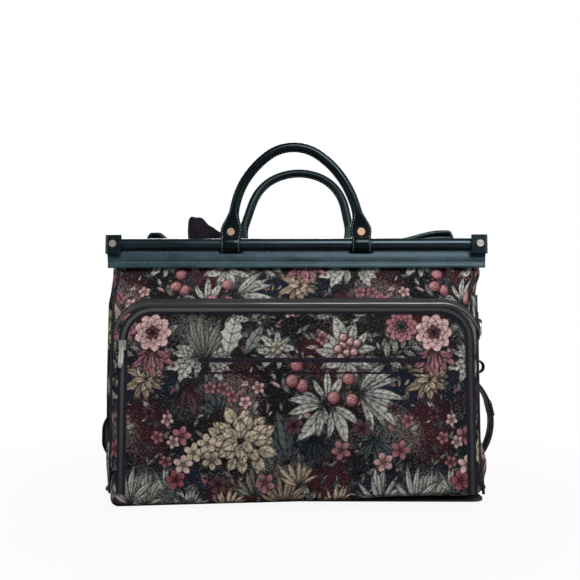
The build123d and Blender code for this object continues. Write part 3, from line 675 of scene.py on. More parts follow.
roll_x, roll_z, in_x, in_z, roll_run = pocket_outline(0, 0.262)
along = np.minimum(roll_run, roll_run[-1] - roll_run)
wide = 0.0105 * smooth(along, 0.02, 0.13) + 0.0015
cross = np.linspace(-0.12, 1, 15)[None, :]
guard_inset = cross * wide[:, None]
guard_x, guard_z = roll_x[:, None] + in_x[:, None] * guard_inset, roll_z[:, None] + in_z[:, None] * guard_inset
swell = 0.0030 * np.sqrt(np.clip(1 - (2 * cross - 0.9) ** 2, 0, 1)) * smooth(along, 0.01, 0.1)[:, None]
wrinkle = 0.0007 * np.sin(roll_run * 55)[:, None] * np.sin(roll_run * 23 + 1)[:, None]
guard_y = pocket_face(guard_x, guard_z) - 0.0004 - swell - wrinkle * swell / 0.003
guard = sew("zip_guard", np.stack([guard_x, guard_y, guard_z + swell * 0.6], axis=-1), slot="leather")
guard.data.materials.append(vinyl)

# Piping, a cord in a sleeve of dark cloth, edges the pocket all round
piping_cloth, tree, shader = new_material("piping_cloth", Specular_IOR_Level=0.22)
weave = noise(tree, 1200, 2)
two_tones(tree, shader, weave, (0.0030, 0.0040, 0.0060), (0.0110, 0.0130, 0.0170))
tree.links.new(ramp(tree, weave, 0.3, 0.7, 0.4, 0.7), shader.inputs["Roughness"])
link_bump(tree, shader, weave, 0.3, 0.3 * MM)
edge_x, edge_z, *_ = pocket_outline(0.0006, pocket_low[2] + 0.012, 0.003)
edge_path = np.stack([drawn_in(edge_x, edge_z), np.full_like(edge_x, pocket_low[1] + 0.0125), edge_z], axis=-1)
edging = tube("pocket_piping", edge_path, 0.0021, (0, 1, 0), slot="zip_tape")
edging.data.materials.append(piping_cloth)

# A strip of dark lining laid in the slip pocket's mouth above the welt is painted shade of the gap; a cord of the same
# dark lining, sewn in along the welt's foot, also paints the seam's shade
lining, tree, shader = new_material("lining", Roughness=0.95, Specular_IOR_Level=0.0, Sheen_Weight=0.08)
pile = noise(tree, 420, 5)
two_tones(tree, shader, pile, (0.0040, 0.0026, 0.0050), (0.0220, 0.0160, 0.0250), 0.35, 0.72)
link_bump(tree, shader, pile, 0.6, 0.8 * MM)

mouth_shade_z = np.linspace(welt_top - 0.0075, welt_top - 0.0010, 8)[:, None]
mouth_shade_y = pocket_face(welt_x, mouth_shade_z) - 0.0005 * welt_end
mouth = sew("slip_mouth_painted_shade", np.stack(np.broadcast_arrays(welt_x, mouth_shade_y, mouth_shade_z), axis=-1), slot="lining_cloth")
mouth.data.materials.append(lining)
# The cord is real, and its dark lining colour also paints the shade along the welt's seam.
cord_y = pocket_face(welt_x[0], welt_foot) - 0.0002
cord_path = np.stack([welt_x[0], cord_y, np.full_like(cord_y, welt_foot)], axis=-1)
welt_cord = tube("welt_cord", cord_path, 0.0011, (0, 1, 0), sides=8, slot="zip_tape")
welt_cord.data.materials.append(lining)


# The two rails are tubes wrapped in smooth green-black leather. Under each hangs a flat leather band, sewn
# through to the cloth by two rows of thread, and leather end tabs tie the rails, held by slotted screws.
def hide(name, deep, light, rough, shine=0.32):
    """Grained leather: pores in the bump, and slow wear that mixes two shades and two degrees of gloss."""
    material, tree, shader = new_material(name, Specular_IOR_Level=shine, Coat_Weight=0.04, Coat_Roughness=0.25)
    shader.inputs["Specular Tint"].default_value = (0.62, 0.86, 1.0, 1)
    place = add_node(tree, "ShaderNodeTexCoord").outputs["Object"]
    pores = add_node(tree, "ShaderNodeTexVoronoi", (("Vector", place), ("Scale", 1150))).outputs["Distance"]
    drawn = add_node(tree, "ShaderNodeMapping", (("Vector", place), ("Scale", (0.3, 1, 1)))).outputs[0]
    wear = add_node(tree, "ShaderNodeTexNoise", (("Vector", drawn), ("Scale", 60), ("Detail", 5))).outputs["Fac"]
    two_tones(tree, shader, wear, deep, light, 0.32, 0.7)
    tree.links.new(ramp(tree, wear, 0.25, 0.75, rough, rough + 0.15), shader.inputs["Roughness"])
    link_bump(tree, shader, pores, 0.16, 0.25 * MM)
    return material


def dress(material, *names):
    for name in names:
        nodes[name].data.materials.clear()
        nodes[name].data.materials.append(material)


leather = hide("leather", (0.0004, 0.0022, 0.0030), (0.0018, 0.0062, 0.0085), 0.22, shine=0.44)
# Darker, less glossy copy of the leather for the front handle: its darker base is painted shade.
handle_leather_painted_shade = hide("handle_leather_painted_shade", (0.0003, 0.0012, 0.0016), (0.0012, 0.0036, 0.0046), 0.19, shine=0.20)
# Darker, rougher copy of the leather for the rear handle, which stands behind the front one: its darker base is painted
# shade.
rougher_leather_painted_shade = hide("rougher_leather_painted_shade", (0.0004, 0.0016, 0.0020), (0.0016, 0.0045, 0.0055), 0.36, shine=0.18)
# Lighter, bluer copy of the leather for the bands under the rails: its lighter base is painted light, for bands that
# face the lamp.
band_leather_painted_light = hide("band_leather_painted_light", (0.0035, 0.0110, 0.0150), (0.0150, 0.0330, 0.0430), 0.42)
dress(leather, "front_rail", "rear_rail", "left_end_tab", "right_end_tab")
dress(leather, "left_side_strap", "right_side_strap", "ring_chape")


def sewing_thread(name, deep, light):
    """Twisted thread: fine noise mixes two shades and roughens the twist."""
    material, tree, shader = new_material(name, Roughness=0.7, Specular_IOR_Level=0.2)
    place = add_node(tree, "ShaderNodeTexCoord").outputs["Object"]
    twist = add_node(tree, "ShaderNodeTexNoise", (("Vector", place), ("Scale", 700))).outputs["Fac"]
    two_tones(tree, shader, twist, deep, light)
    link_bump(tree, shader, twist, 0.3, 0.2 * MM)
    return material


thread = sewing_thread("thread", (0.075, 0.095, 0.100), (0.190, 0.215, 0.220))
dark_thread = sewing_thread("dark_thread", (0.0010, 0.0025, 0.0035), (0.0040, 0.0075, 0.0095))


def stitches(name, middles, ahead, out, twine, body="bag", length=0.0026, thick=0.0020):
    """One mesh of short threads: a six-sided spindle along each stitch, half sunk into the leather."""
    middles, ahead, out = (np.broadcast_to(np.asarray(part, float), middles.shape) for part in (middles, ahead, out))
    side = np.cross(ahead, out)
    way = np.array([-0.5, -0.28, 0.28, 0.5])[:, None, None]
    girth = np.array([0.25, 1.0, 1.0, 0.25])[:, None, None] * thick / 2
    angle = 2 * np.pi * np.arange(6)[None, :, None] / 6
    along = length * way * ahead[:, None, None, :]
    ring = girth * (np.cos(angle) * side[:, None, None, :] - np.sin(angle) * out[:, None, None, :])
    points = (middles[:, None, None, :] + along + ring).reshape(-1, 3)
    index = np.arange(24).reshape(4, 6)
    near, far = index[:-1], index[1:]
    quads = np.stack([near, np.roll(near, -1, 1), np.roll(far, -1, 1), far], axis=-1).reshape(-1, 4)
    faces = (quads[None] + 24 * np.arange(len(middles))[:, None, None]).reshape(-1, 4)
    mesh = bpy.data.meshes.new(name)
    mesh.from_pydata(points.tolist(), [], faces.tolist())
    mesh.polygons.foreach_set("use_smooth", np.full(len(faces), True))
    mesh.materials.append(twine)
    piece = bpy.data.objects.new(name, mesh)
    bpy.context.scene.collection.objects.link(piece)
    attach(piece, body)
    return piece


stitch_pitch = 0.0046
band_foot_half, band_top_half = 0.2765, 0.2790
band_seams = (0.3372, 0.3525)


def band_lean(z, low, top):
    """How far the strip stands out over the slanted shoulder: nothing at the rail, most at its foot."""
    return 0.0042 * (1 - np.clip((z - low) / (top - low), 0, 1)) ** 1.6


# Slits in the upper edge let the loops of the handles pass and turn
slit_place, slit_half, slit_foot = 0.096, 0.0165, 0.3504


def padded_band(name, hand):
    """Strip hung under a rail: both its faces swell between the foot, the two rows of thread and the rail."""
    low, high = (np.array(corner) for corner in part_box(name))
    top = high[2] + 0.0008
    z = np.linspace(low[2], top, 31)
    lobes = (low[2] - 0.0005, *band_seams, top + 0.004)
    swell = np.zeros_like(z)
    for foot, head, fullness in zip(lobes, lobes[1:], (0.0009, 0.0014, 0.0008)):
        share = np.clip((z - foot) / (head - foot), 0, 1)
        swell = swell + fullness * np.sin(np.pi * share) ** 0.8
    along = np.linspace(-1, 1, 260)[:, None]
    half = band_foot_half + (band_top_half - band_foot_half) * (z - low[2]) / (top - low[2])
    uneven = 1 + 0.16 * np.sin(23 * along + 40 * z) + 0.10 * np.sin(61 * along + 2)
    thick = 0.0009 + swell * uneven
    x, level = np.broadcast_arrays(along * half, z)
    slit = 1 - smooth(np.abs(np.abs(x) - slit_place), slit_half, slit_half + 0.002)
    level = level - 0.98 * slit * np.maximum(level - slit_foot, 0)
    face = np.stack([x, -thick, level], axis=-1)[:, ::-1]
    back = np.stack([x, thick, level], axis=-1)
    section = np.concatenate([face, back], axis=1) + (0, (low[1] + high[1]) / 2, 0)
    section[:, :, 1] += hand * band_lean(section[:, :, 2], low[2], top)
    ends = [np.repeat(end.mean(axis=1, keepdims=True), section.shape[1], 1) for end in (section[:1], section[-1:])]
    return np.concatenate([ends[0], section, ends[1]])


for name, face in (("front_rail_band", -1), ("rear_rail_band", 1)):
    band = sew(f"{name}_strip", padded_band(name, face), close_columns=True, slot="leather")
    # The strips take the lighter copy of the leather, painted light.
    band.data.materials.append(band_leather_painted_light)
    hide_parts(name)
    low, high = (np.array(corner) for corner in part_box(name))
    row = np.arange(low[0] + 0.012, high[0] - 0.012, stitch_pitch)
    rows = []
    for z in band_seams:
        face_y = (low[1] + high[1]) / 2 + face * (band_lean(z, low[2], high[2]) + 0.0014)
        sewn = row[(np.abs(np.abs(row) - slit_place) > slit_half + 0.003) | (z < slit_foot)]
        rows.append(np.stack([sewn, np.full_like(sewn, face_y), np.full_like(sewn, z)], axis=-1))
    stitches(f"{name}_thread", np.concatenate(rows), (1, 0, 0), (0, face, 0), thread, thick=0.0015)

# Each end tab is edged by a row of the same thread where its leather turns onto the rail
for name, hand in (("left_end_tab", -1), ("right_end_tab", 1)):
    low, high = (np.array(corner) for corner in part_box(name))
    inner_x = (high[0] if hand < 0 else low[0]) + hand * 0.0022
    rise = np.arange(low[2] + 0.003, low[2] + 0.026, 0.0036)
    for label, face, face_y in (("front", -1, low[1]), ("rear", 1, high[1])):
        row = np.stack([np.full_like(rise, inner_x), np.full_like(rise, face_y), rise], axis=-1)
        stitches(f"{label}_{name}_thread", row, (0, 0, 1), (0, face, 0), dark_thread, length=0.0026, thick=0.0011)

# The handles are cords rolled in leather and sewn shut along the inside of the arch. Each foot flares out
# flat, is riveted through, and runs on into a loop that wraps the rail and turns round it.
rail_y, rail_z = 0.055, 0.364
handle_rise, loop_x, rivet_height = 0.144, 0.096, 0.0185
foot_start, foot_flat, grip_start = 0.0098, 0.020, 0.054
cord_radius, seam_ridge = 0.0066, 0.0015
foot_half, foot_thick = 0.0158, 0.0034
loop_half, loop_outer, loop_inner, loop_edge = 0.0145, 0.0118, 0.0093, 0.0011


def arch(leg_height, leg_lean, crest_turn):
    """Centre line from foot to foot about the rail: a leaning leg, a wide arc and a tight crest, mirrored."""
    lean, turn = math.radians(leg_lean), math.radians(crest_turn)
    leg_x = loop_x - (leg_height - rivet_height) * math.tan(lean)
    rise = handle_rise - leg_height
    across, down = math.cos(lean) - math.sin(turn), math.cos(turn) - math.sin(lean)
    scale = math.sin(turn) * down - (1 - math.cos(turn)) * across
    crest = (leg_x * down - rise * across) / scale
    shoulder = (rise * math.sin(turn) - leg_x * (1 - math.cos(turn))) / scale
    over = np.linspace(0, turn, 60)
    head = np.stack([crest * np.sin(over), handle_rise - crest * (1 - np.cos(over))], axis=-1)
    under = np.linspace(turn, np.pi / 2 - lean, 60)[1:]
    bend = np.stack([np.sin(under) - math.sin(turn), np.cos(under) - math.cos(turn)], axis=-1)
    feet = [[loop_x, rivet_height], [loop_x, foot_start]]
    right = np.concatenate([head, head[-1] + shoulder * bend, feet])
    corner = np.concatenate([(right * (-1, 1))[::-1], right[1:]])
    run = np.concatenate([[0], np.cumsum(np.linalg.norm(np.diff(corner, axis=0), axis=1))])
    even = np.linspace(0, run[-1], 261)
    route = np.stack([np.interp(even, run, part) for part in corner.T], axis=-1)
    for _ in range(8):
        route[1:-1] = (route[:-2] + 2 * route[1:-1] + route[2:]) / 4
    return route


def grip_section(height):
    """Half width, half depth and squareness of the handle: a flat flared foot that rolls up into a cord."""
    flare = (1 - smooth(height, foot_flat, grip_start)) ** 1.25
    waist = 1 - 0.12 * (1 - smooth(height, foot_start, foot_flat))
    rolled = smooth(height, foot_flat + 0.004, grip_start)
    wide = cord_radius + (foot_half - cord_radius) * flare * waist
    return wide, foot_thick + (cord_radius - foot_thick) * rolled, 6 - 4 * rolled, rolled


def across_arch(route):
    """Directions square to the route, outwards from the arch."""
    ahead = np.gradient(route, axis=0)
    ahead = ahead / np.linalg.norm(ahead, axis=1, keepdims=True)
    return np.stack([-ahead[:, 1], ahead[:, 0]], axis=-1)


def set_on_rail(x, deep, height, hand, lean):
    """Turn a handle's own places by its lean about the rail and carry them to that rail."""
    cosine, sine = math.cos(math.radians(lean)), math.sin(math.radians(lean))
    y = hand * rail_y + deep * cosine + height * sine
    z = rail_z + height * cosine - deep * sine
    return np.stack(np.broadcast_arrays(x, y, z), axis=-1)


def seam_places(route, offset, deep, hand, lean, pitch):
    """Evenly spaced places, and the way ahead, along a line at an offset across the arch and at a depth."""
    line = route + across_arch(route) * offset[:, None]
    spots = set_on_rail(line[:, 0], deep, line[:, 1], hand, lean)
    run = np.concatenate([[0], np.cumsum(np.linalg.norm(np.diff(spots, axis=0), axis=1))])
    even = np.arange(pitch / 2, run[-1], pitch)
    middles = np.stack([np.interp(even, run, part) for part in spots.T], axis=-1)
    ahead = np.gradient(middles, axis=0)
    return middles, ahead / np.linalg.norm(ahead, axis=1, keepdims=True)


def settled(route, sway):
    """Bend a route the way the leather has set: one half of the arch leans out and its crest lifts a little."""
    x, height = route.T
    aside = sway * smooth(height, foot_flat, 0.1) * smooth(x * np.sign(sway), -0.09, 0.05)
    return np.stack([x + aside, height + 0.6 * abs(sway) * smooth(height, 0.05, 0.13)], axis=-1)


def sewn_handle(label, hide_cut, hand, lean, sway, *form):
    """One handle: its rolled grip, the seam along the inside, the sewn feet and the two loops."""
    body = f"{label}_handle"
    route = settled(arch(*form), sway)
    wide, deep, square, rolled = (part[:, None] for part in grip_section(route[:, 1]))
    turn = 2 * np.pi * np.arange(44)[None, :] / 44
    cosine, sine = np.cos(turn), np.sin(turn)
    ridge = seam_ridge * rolled * np.exp(-(((turn - np.pi) / 0.24) ** 2))
    aside = wide * np.sign(cosine) * np.abs(cosine) ** (2 / square) - ridge
    depth = -deep * np.sign(sine) * np.abs(sine) ** (2 / square)
    outward = across_arch(route)
    ring_x = route[:, :1] + outward[:, :1] * aside
    ring_z = route[:, 1:] + outward[:, 1:] * aside
    rings = set_on_rail(ring_x, depth, ring_z, hand, lean)
    ends = [np.repeat(end.mean(axis=1, keepdims=True), 44, 1) for end in (rings[:1], rings[-1:])]
    closed = np.concatenate([ends[0], rings, ends[1]])
    grip = sew(f"{label}_grip", closed, close_columns=True, body=body, slot="leather")
    grip.data.materials.append(hide_cut)
    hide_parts(body)

    rows = []
    for face in (-1, 1):
        out = set_on_rail(0, face, 0, 0, lean)
        upper = route[:, 1] > grip_start - 0.006
        inside = np.full(upper.sum(), -cord_radius * 0.98)
        middles, ahead = seam_places(route[upper], inside, face * cord_radius * 0.24, hand, lean, stitch_pitch)
        rows.append((middles, ahead, np.broadcast_to(out, middles.shape)))
        for foot in (-1, 1):
            lower = (route[:, 1] < grip_start - 0.006) & (route[:, 0] * foot > 0)
            half, thick, power, _ = grip_section(route[lower][:, 1])
            for edge in (-1, 1):
                offset = half - 0.0024
                level = face * (thick * (1 - (offset / half) ** power) ** (1 / power) + 0.0002)
                middles, ahead = seam_places(route[lower], edge * offset, level, hand, lean, stitch_pitch)
                rows.append((middles, ahead, np.broadcast_to(out, middles.shape)))

    wall = np.array([
        (-loop_half, loop_inner), (-loop_half, loop_outer - loop_edge), (loop_edge - loop_half, loop_outer),
        (-0.4 * loop_half, loop_outer + 0.0004), (0.4 * loop_half, loop_outer + 0.0004),
        (loop_half - loop_edge, loop_outer), (loop_half, loop_outer - loop_edge), (loop_half, loop_inner),
    ])
    girdle = 2 * np.pi * np.arange(56)[None, :] / 56
    wrap = np.arange(-1.15, 1.16, stitch_pitch * 0.9 / loop_outer)
    for place, foot in (("left", -1), ("right", 1)):
        loop_points = set_on_rail(
            foot * loop_x + wall[:, :1], wall[:, 1:] * np.cos(girdle), wall[:, 1:] * np.sin(girdle), hand, 0
        )
        loop = sew(f"{label}_{place}_loop", loop_points, close_columns=True, body=body, slot="leather")
        loop.data.materials.append(hide_cut)
        for edge in (-1, 1):
            for face in (-1, 1):
                out = np.stack([0 * wrap, face * np.cos(wrap), np.sin(wrap)], axis=-1)
                middles = out * loop_outer + (foot * loop_x + edge * (loop_half - 0.0024), hand * rail_y, rail_z)
                ahead = np.stack([0 * wrap, -face * np.sin(wrap), np.cos(wrap)], axis=-1)
                rows.append((middles, ahead, out))
    middles, ahead, out = (np.concatenate(part) for part in zip(*rows))
    stitches(f"{label}_handle_thread", middles, ahead, out, thread, body=body, length=0.0027, thick=0.0011)


# The front handle takes the darker copy of the leather, painted shade.
sewn_handle("front", handle_leather_painted_shade, -1, 0, -0.0050, 0.0354, 8, 36)
# The rear handle takes the darker, rougher copy, painted shade.
sewn_handle("rear", rougher_leather_painted_shade, 1, 14, 0.0070, 0.0845, 17, 60)


# Bright parts: slotted nickel screws, the zip slider and its pull, and the ring; brass rivets hold the handles
def metal(name, light, deep, rough, scale):
    """Worn metal: fine noise mixes a light and a deep colour, and dulls and scuffs the polish."""
    material, tree, shader = new_material(name, Metallic=1.0)
    wear = noise(tree, scale, 4)
    two_tones(tree, shader, wear, deep, light, 0.35, 0.65)
    tree.links.new(ramp(tree, wear, 0.3, 0.7, rough + 0.12, rough), shader.inputs["Roughness"])
    link_bump(tree, shader, wear, 0.08, 0.2 * MM)
    return material


nickel = metal("nickel", (0.66, 0.64, 0.60), (0.44, 0.42, 0.39), 0.30, 380)
brass = metal("brass", (0.74, 0.50, 0.35), (0.46, 0.28, 0.18), 0.30, 420)
black_metal = metal("black_metal", (0.050, 0.052, 0.055), (0.022, 0.023, 0.025), 0.30, 300)
steel = metal("steel", (0.55, 0.55, 0.55), (0.40, 0.40, 0.41), 0.30, 300)
dress(nickel, "rail_screws", "zip_slider", "side_ring")
dress(brass, "front_handle_rivets", "rear_handle_rivets")
dress(black_metal, "buckle_frame", "buckle_prong", "left_strap_rivets", "right_strap_rivets")
dress(steel, "front_wheel_axle", "rear_wheel_axle")

# The slider's drop pull is a die-cast tear: a thick rim round a hollow middle, hung a little askew
pull_low, pull_high = (np.array(corner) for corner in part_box("zip_pull"))
pull_turn = 2 * np.pi * np.arange(48)[None, :] / 48
pull_share = np.array([0.02, 0.50, 0.58, 0.72, 0.90, 1.0, 1.0, 0.90, 0.72, 0.58, 0.50, 0.02])[:, None]
pull_depth = np.array([0.3, 0.3, 0.7, 0.9, 0.8, 0.35, -0.35, -0.8, -0.9, -0.7, -0.3, -0.3])[:, None] * MM
pull_top, pull_foot = pull_high[2], pull_low[2] - 0.004
narrow = 1 - 0.22 * np.sin(pull_turn)
pull_x = pull_share * 0.0033 * narrow * np.sign(np.cos(pull_turn)) * np.abs(np.cos(pull_turn)) ** 0.75
pull_z = (pull_top + pull_foot) / 2 + pull_share * (pull_top - pull_foot) / 2 * np.sin(pull_turn)
pull_x = pull_x + (pull_low[0] + pull_high[0]) / 2 - 0.055 * (pull_top - pull_z)
pull_y = (pull_low[1] + pull_high[1]) / 2 + pull_depth + 0 * pull_x
pull_grid = np.stack([pull_x, pull_y, pull_z], axis=-1)
pull = sew("drop_pull", pull_grid, close_columns=True, body="zip_pull", slot="nickel")
pull.data.materials.append(nickel)
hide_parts("zip_pull")

# The zip: navy tape with a fine rib, and a nylon coil whose turns show as close ridges along it, its colour darker in
# the grooves between them as painted shade
zip_tape, tree, shader = new_material("zip_tape", Roughness=0.8, Specular_IOR_Level=0.12, Sheen_Weight=0.03)
weave = noise(tree, 1500, 2)
two_tones(tree, shader, weave, (0.0035, 0.0036, 0.0065), (0.0100, 0.0100, 0.0170))
link_bump(tree, shader, weave, 0.4, 0.3 * MM)
dress(zip_tape, "pocket_zip_tape")

zip_coil, tree, shader = new_material("zip_coil", Roughness=0.42, Specular_IOR_Level=0.3)
place = add_node(tree, "ShaderNodeTexCoord").outputs["Object"]
turns = (("Vector", place), ("Scale", 190), ("Distortion", 0.0))
ridge = add_node(tree, "ShaderNodeTexWave", turns, bands_direction="DIAGONAL").outputs["Fac"]
# The coil's colour follows the ridges, darker in the grooves: painted shade.
two_tones(tree, shader, ridge, (0.0040, 0.0040, 0.0060), (0.0170, 0.0170, 0.0230))
link_bump(tree, shader, ridge, 0.8, 0.5 * MM)
dress(zip_coil, "pocket_zip_coil")


# Wheels and the foot of the bag: a grained board, moulded housings and glides, plastic hubs, rubber tyres
def moulded(name, light, deep, rough, scale, strength):
    """Moulded or pressed stuff: a pebbled grain in the bump, the shade and the gloss."""
    material, tree, shader = new_material(name)
    grain = noise(tree, scale, 5)
    two_tones(tree, shader, grain, deep, light, 0.35, 0.7)
    tree.links.new(ramp(tree, grain, 0.3, 0.7, rough, rough + 0.2), shader.inputs["Roughness"])
    link_bump(tree, shader, grain, strength, 0.4 * MM)
    return material


dress(moulded("board", (0.030, 0.027, 0.025), (0.012, 0.011, 0.010), 0.6, 260, 0.4), "base_board")
housing = moulded("housing", (0.020, 0.020, 0.021), (0.008, 0.008, 0.009), 0.38, 620, 0.25)
dress(housing, "front_wheel_housing", "rear_wheel_housing", "glide_feet")
hub = moulded("hub", (0.085, 0.085, 0.088), (0.040, 0.040, 0.042), 0.35, 500, 0.15)
dress(hub, "front_wheel_hub", "rear_wheel_hub")
tyre = moulded("tyre", (0.016, 0.016, 0.016), (0.006, 0.006, 0.006), 0.65, 340, 0.4)
dress(tyre, "front_wheel_tyre", "rear_wheel_tyre")


# Piping also follows the foot of the bag all round and the four upright edges of its end gussets
foot_row = 5
foot_path = bag_grid[foot_row] * (1.003, 1.006, 1)
foot_piping = tube("foot_piping", foot_path, 0.0021, (0, 0, 1), closed=True, slot="zip_tape")
foot_piping.data.materials.append(piping_cloth)
corner_score = np.abs(girth_x / half_wide) + np.abs(girth_y / half_deep)
corners = (("front_left", -1, -1), ("front_right", 1, -1), ("rear_left", -1, 1), ("rear_right", 1, 1))
for label, hand_x, hand_y in corners:
    column = np.argmax(np.where((girth_x * hand_x > 0) & (girth_y * hand_y > 0), corner_score, 0))
    edge_path = bag_grid[foot_row:122, column] + np.array([hand_x, hand_y, 0]) * 0.0007
    upright = tube(f"{label}_piping", edge_path, 0.0020, (hand_x, -hand_y, 0), slot="zip_tape")
    upright.data.materials.append(piping_cloth)

# Between the rails the closure is stuffed cloth that bulges up, with a leather strap lying along it
crown_low, crown_high = (np.array(corner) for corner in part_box("top_crown"))
crown_half = 0.2745
crown_x = np.linspace(-1, 1, 180)[None, :]
crown_turn = np.linspace(-1, 1, 40)[:, None]
crown_y = 0.048 * crown_turn + 0 * crown_x
swell = (1 - crown_turn**4) * (1 - crown_x**24)
crown_z = crown_low[2] + 0.004 + (crown_high[2] - crown_low[2] - 0.0045) * swell
crown_wave = 0.0016 * np.sin(crown_x * 38 + 3 * crown_turn) * (1 - crown_turn**2)
crown_points = np.stack(np.broadcast_arrays(crown_x * crown_half, crown_y, crown_z - np.abs(crown_wave)), axis=-1)
crown = sew("top_closure", crown_points, cloth=(crown_x * crown_half + 0.1, crown_y + 0.2))
crown.data.materials.append(bpy.data.materials["tapestry_cloth"])
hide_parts("top_crown")

strap_low, strap_high = (np.array(corner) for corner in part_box("top_strap"))
strap_x = np.linspace(strap_low[0], strap_high[0], 320)
left_hump = 0.0135 * smooth(strap_x, -0.236, -0.226) * (1 - smooth(strap_x, -0.216, -0.196))
right_hump = 0.0158 * smooth(strap_x, 0.140, 0.230) * (1 - smooth(strap_x, 0.239, 0.2465))
strap_y = np.full_like(strap_x, (strap_low[1] + strap_high[1]) / 2)
strap_path = np.stack([strap_x, strap_y, strap_low[2] + 0.0030 + left_hump + right_hump], axis=-1)
strap = tube("closure_strap", strap_path, 0.0100, (0, 0, 1), sides=20, flat=0.42, slot="leather")
strap.data.materials.append(leather)
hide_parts("top_strap")
# Its two ends are folded back under the humps
for label, start, end in (("left", -0.236, -0.190), ("right", 0.150, 0.2465)):
    folded = strap_path[(strap_x > start) & (strap_x < end)] * (1, 1, 1)
    folded[:, 2] = strap_low[2] + 0.0030 + (folded[:, 2] - strap_low[2] - 0.0030) * 0.45
    fold = tube(f"{label}_strap_fold", folded, 0.0096, (0, 0, 1), sides=20, flat=0.45, slot="leather")
    fold.data.materials.append(leather)

# Flap of dark plush over the hook's slot: a folded cloth, fullest at its high left corner
flap_low, flap_high = (np.array(corner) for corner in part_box("hook_flap"))
flap_share = np.linspace(0, 1, 48)[:, None]
flap_turn = 2 * np.pi * np.arange(40)[None, :] / 40
flap_x = flap_low[0] - 0.004 + (flap_high[0] - flap_low[0] + 0.011) * flap_share
flap_top = flap_high[2] - 0.022 * smooth(flap_share, 0.25, 0.9) + 0.0010 * np.sin(flap_share * 19)
end_round = np.sqrt(np.clip(1 - (2 * flap_share - 1) ** 10, 0, 1))
flap_foot = flap_low[2] - 0.001
flap_level = np.sign(np.sin(flap_turn)) * np.abs(np.sin(flap_turn)) ** 0.6
flap_z = (flap_top + flap_foot) / 2 + (flap_top - flap_foot) / 2 * end_round * flap_level
billow = 0.0016 * np.sin(flap_x * 230 + flap_z * 150)
flap_y = (flap_low[1] + flap_high[1]) / 2 + 0.0042 * end_round * np.cos(flap_turn) + billow
flap_grid = np.stack(np.broadcast_arrays(flap_x, flap_y, flap_z), axis=-1)
flap = sew("hook_cover", flap_grid, close_columns=True, slot="lining_cloth")
flap.data.materials.append(lining)
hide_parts("hook_flap")

# A small leather keeper stands out from the right side near the front corner
keeper_turn = np.linspace(0, np.pi, 24)
keeper_x = 0.2545 + 0.0105 * np.sin(keeper_turn) ** 0.8
keeper_path = np.stack([keeper_x, np.full(24, -0.080), 0.1860 - 0.0085 * np.cos(keeper_turn)], axis=-1)
keeper = tube("side_keeper", keeper_path, 0.0016, (0, 1, 0), sides=14, flat=4.0, slot="leather")
keeper.data.materials.append(leather)

# The left pull strap is one thickness of leather, riveted flat at both ends, its middle standing out in a bow
pull_low, pull_high = (np.array(corner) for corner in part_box("left_side_strap"))
bow_z = np.linspace(pull_low[2] + 0.0005, pull_high[2] - 0.0005, 160)
bow_share = np.clip(np.abs(bow_z - 0.084) / 0.044, 0, 1)
flat_x, peak_x = pull_high[0] - 0.002, pull_low[0] + 0.002
bow_x = flat_x + (peak_x - flat_x) * (1 - smooth(bow_share, 0.1, 1) ** 1.6)
bow_path = np.stack([bow_x, np.full(160, (pull_low[1] + pull_high[1]) / 2), bow_z], axis=-1)
bow = tube("left_pull_strap", bow_path, 0.0100, (1, 0, 0), sides=24, flat=0.22, slot="leather")
bow.data.materials.append(leather)
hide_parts("left_side_strap")

# The right pull strap is doubled below its buckle: the free end lies inside the bow
tail_turn = np.radians(np.linspace(-35, 0, 60))
tail_x, tail_z = 0.2061 + 0.0805 * np.cos(tail_turn), 0.106 + 0.0805 * np.sin(tail_turn)
tail_path = np.stack([tail_x, np.full(60, -0.035), tail_z], axis=-1)
tail = tube("right_strap_tail", tail_path, 0.0096, (1, 0, 0), sides=24, flat=0.21, slot="leather")
tail.data.materials.append(leather)


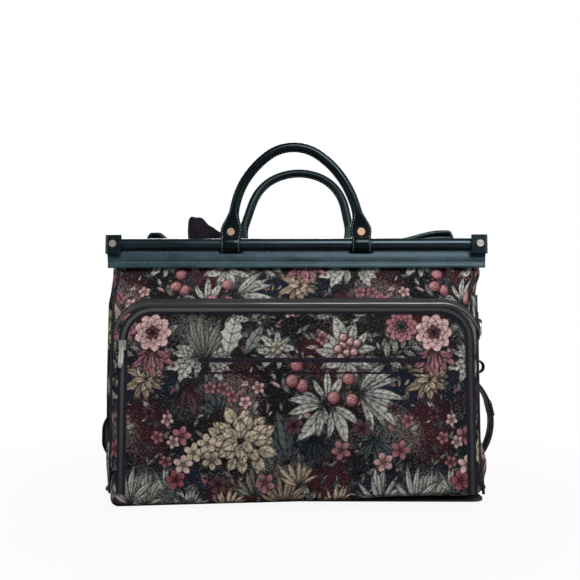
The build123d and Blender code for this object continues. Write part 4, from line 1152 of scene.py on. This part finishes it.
# White studio: a pale floor that the camera sees almost white, one broad soft light above the camera,
# weaker ones at the sides and behind, and a camera at the height of the bag's middle.
floor_mesh = bpy.data.meshes.new("floor")
floor_mesh.from_pydata([(-6, -6, 0), (6, -6, 0), (6, 6, 0), (-6, 6, 0)], [], [(0, 1, 2, 3)])
floor = bpy.data.objects.new("floor", floor_mesh)
bpy.context.scene.collection.objects.link(floor)
floor_paint, tree, shader = new_material("floor", Base_Color=(0.3, 0.3, 0.3, 1), Roughness=0.9)
glow = add_node(tree, "ShaderNodeEmission", (("Color", (1, 1, 1, 1)), ("Strength", 1.0)))
seen = add_node(tree, "ShaderNodeLightPath").outputs["Is Camera Ray"]
place = add_node(tree, "ShaderNodeTexCoord").outputs["Object"]
far = add_node(tree, "ShaderNodeVectorMath", ((0, place),), operation="LENGTH").outputs["Value"]
share = sums(tree, "MULTIPLY", seen, ramp(tree, far, 0.3, 0.75, 0.93, 1.0))
mixed = add_node(tree, "ShaderNodeMixShader", ((0, share), (1, shader.outputs[0]), (2, glow.outputs[0])))
tree.links.new(mixed.outputs[0], tree.nodes["Material Output"].inputs["Surface"])
floor_mesh.materials.append(floor_paint)

world = bpy.data.worlds.new("studio")
bpy.context.scene.world = world
world.use_nodes = True
tree = world.node_tree
backdrop = tree.nodes["Background"]
backdrop.inputs["Color"].default_value = (1, 1, 1, 1)
seen = add_node(tree, "ShaderNodeLightPath").outputs["Is Camera Ray"]
tree.links.new(ramp(tree, seen, 0, 1, 0.16, 1.0), backdrop.inputs["Strength"])


def soft_light(name, place, aim, size, power):
    lamp = bpy.data.lights.new(name, "AREA")
    lamp.shape, lamp.size, lamp.size_y, lamp.energy = "RECTANGLE", size[0], size[1], power
    light = bpy.data.objects.new(name, lamp)
    light.location = place
    light.rotation_euler = (Vector(aim) - Vector(place)).to_track_quat("-Z", "Y").to_euler()
    bpy.context.scene.collection.objects.link(light)


soft_light("key", (0.50, -1.5, 1.55), (0, 0, 0.25), (1.3, 0.7), 52)
soft_light("left_fill", (-1.6, -0.7, 0.7), (0, 0, 0.25), (1.7, 1.6), 12)
soft_light("right_fill", (1.6, -0.7, 0.7), (0, 0, 0.25), (1.7, 1.6), 13)
soft_light("back_fill", (-0.3, 1.8, 1.3), (0, 0, 0.2), (1.4, 0.9), 30)

camera_data = bpy.data.cameras.new("camera")
camera_data.sensor_width, camera_data.lens, camera_data.clip_start = 36, 40.2, 0.01
camera = bpy.data.objects.new("camera", camera_data)
camera.location = (0, -1.005, 0.230)
aim = Vector((-0.0088, -0.055, 0.2967)) - camera.location
camera.rotation_euler = aim.to_track_quat("-Z", "Y").to_euler()
bpy.context.scene.collection.objects.link(camera)
bpy.context.scene.camera = camera
bpy.context.scene.view_settings.view_transform = "Standard"
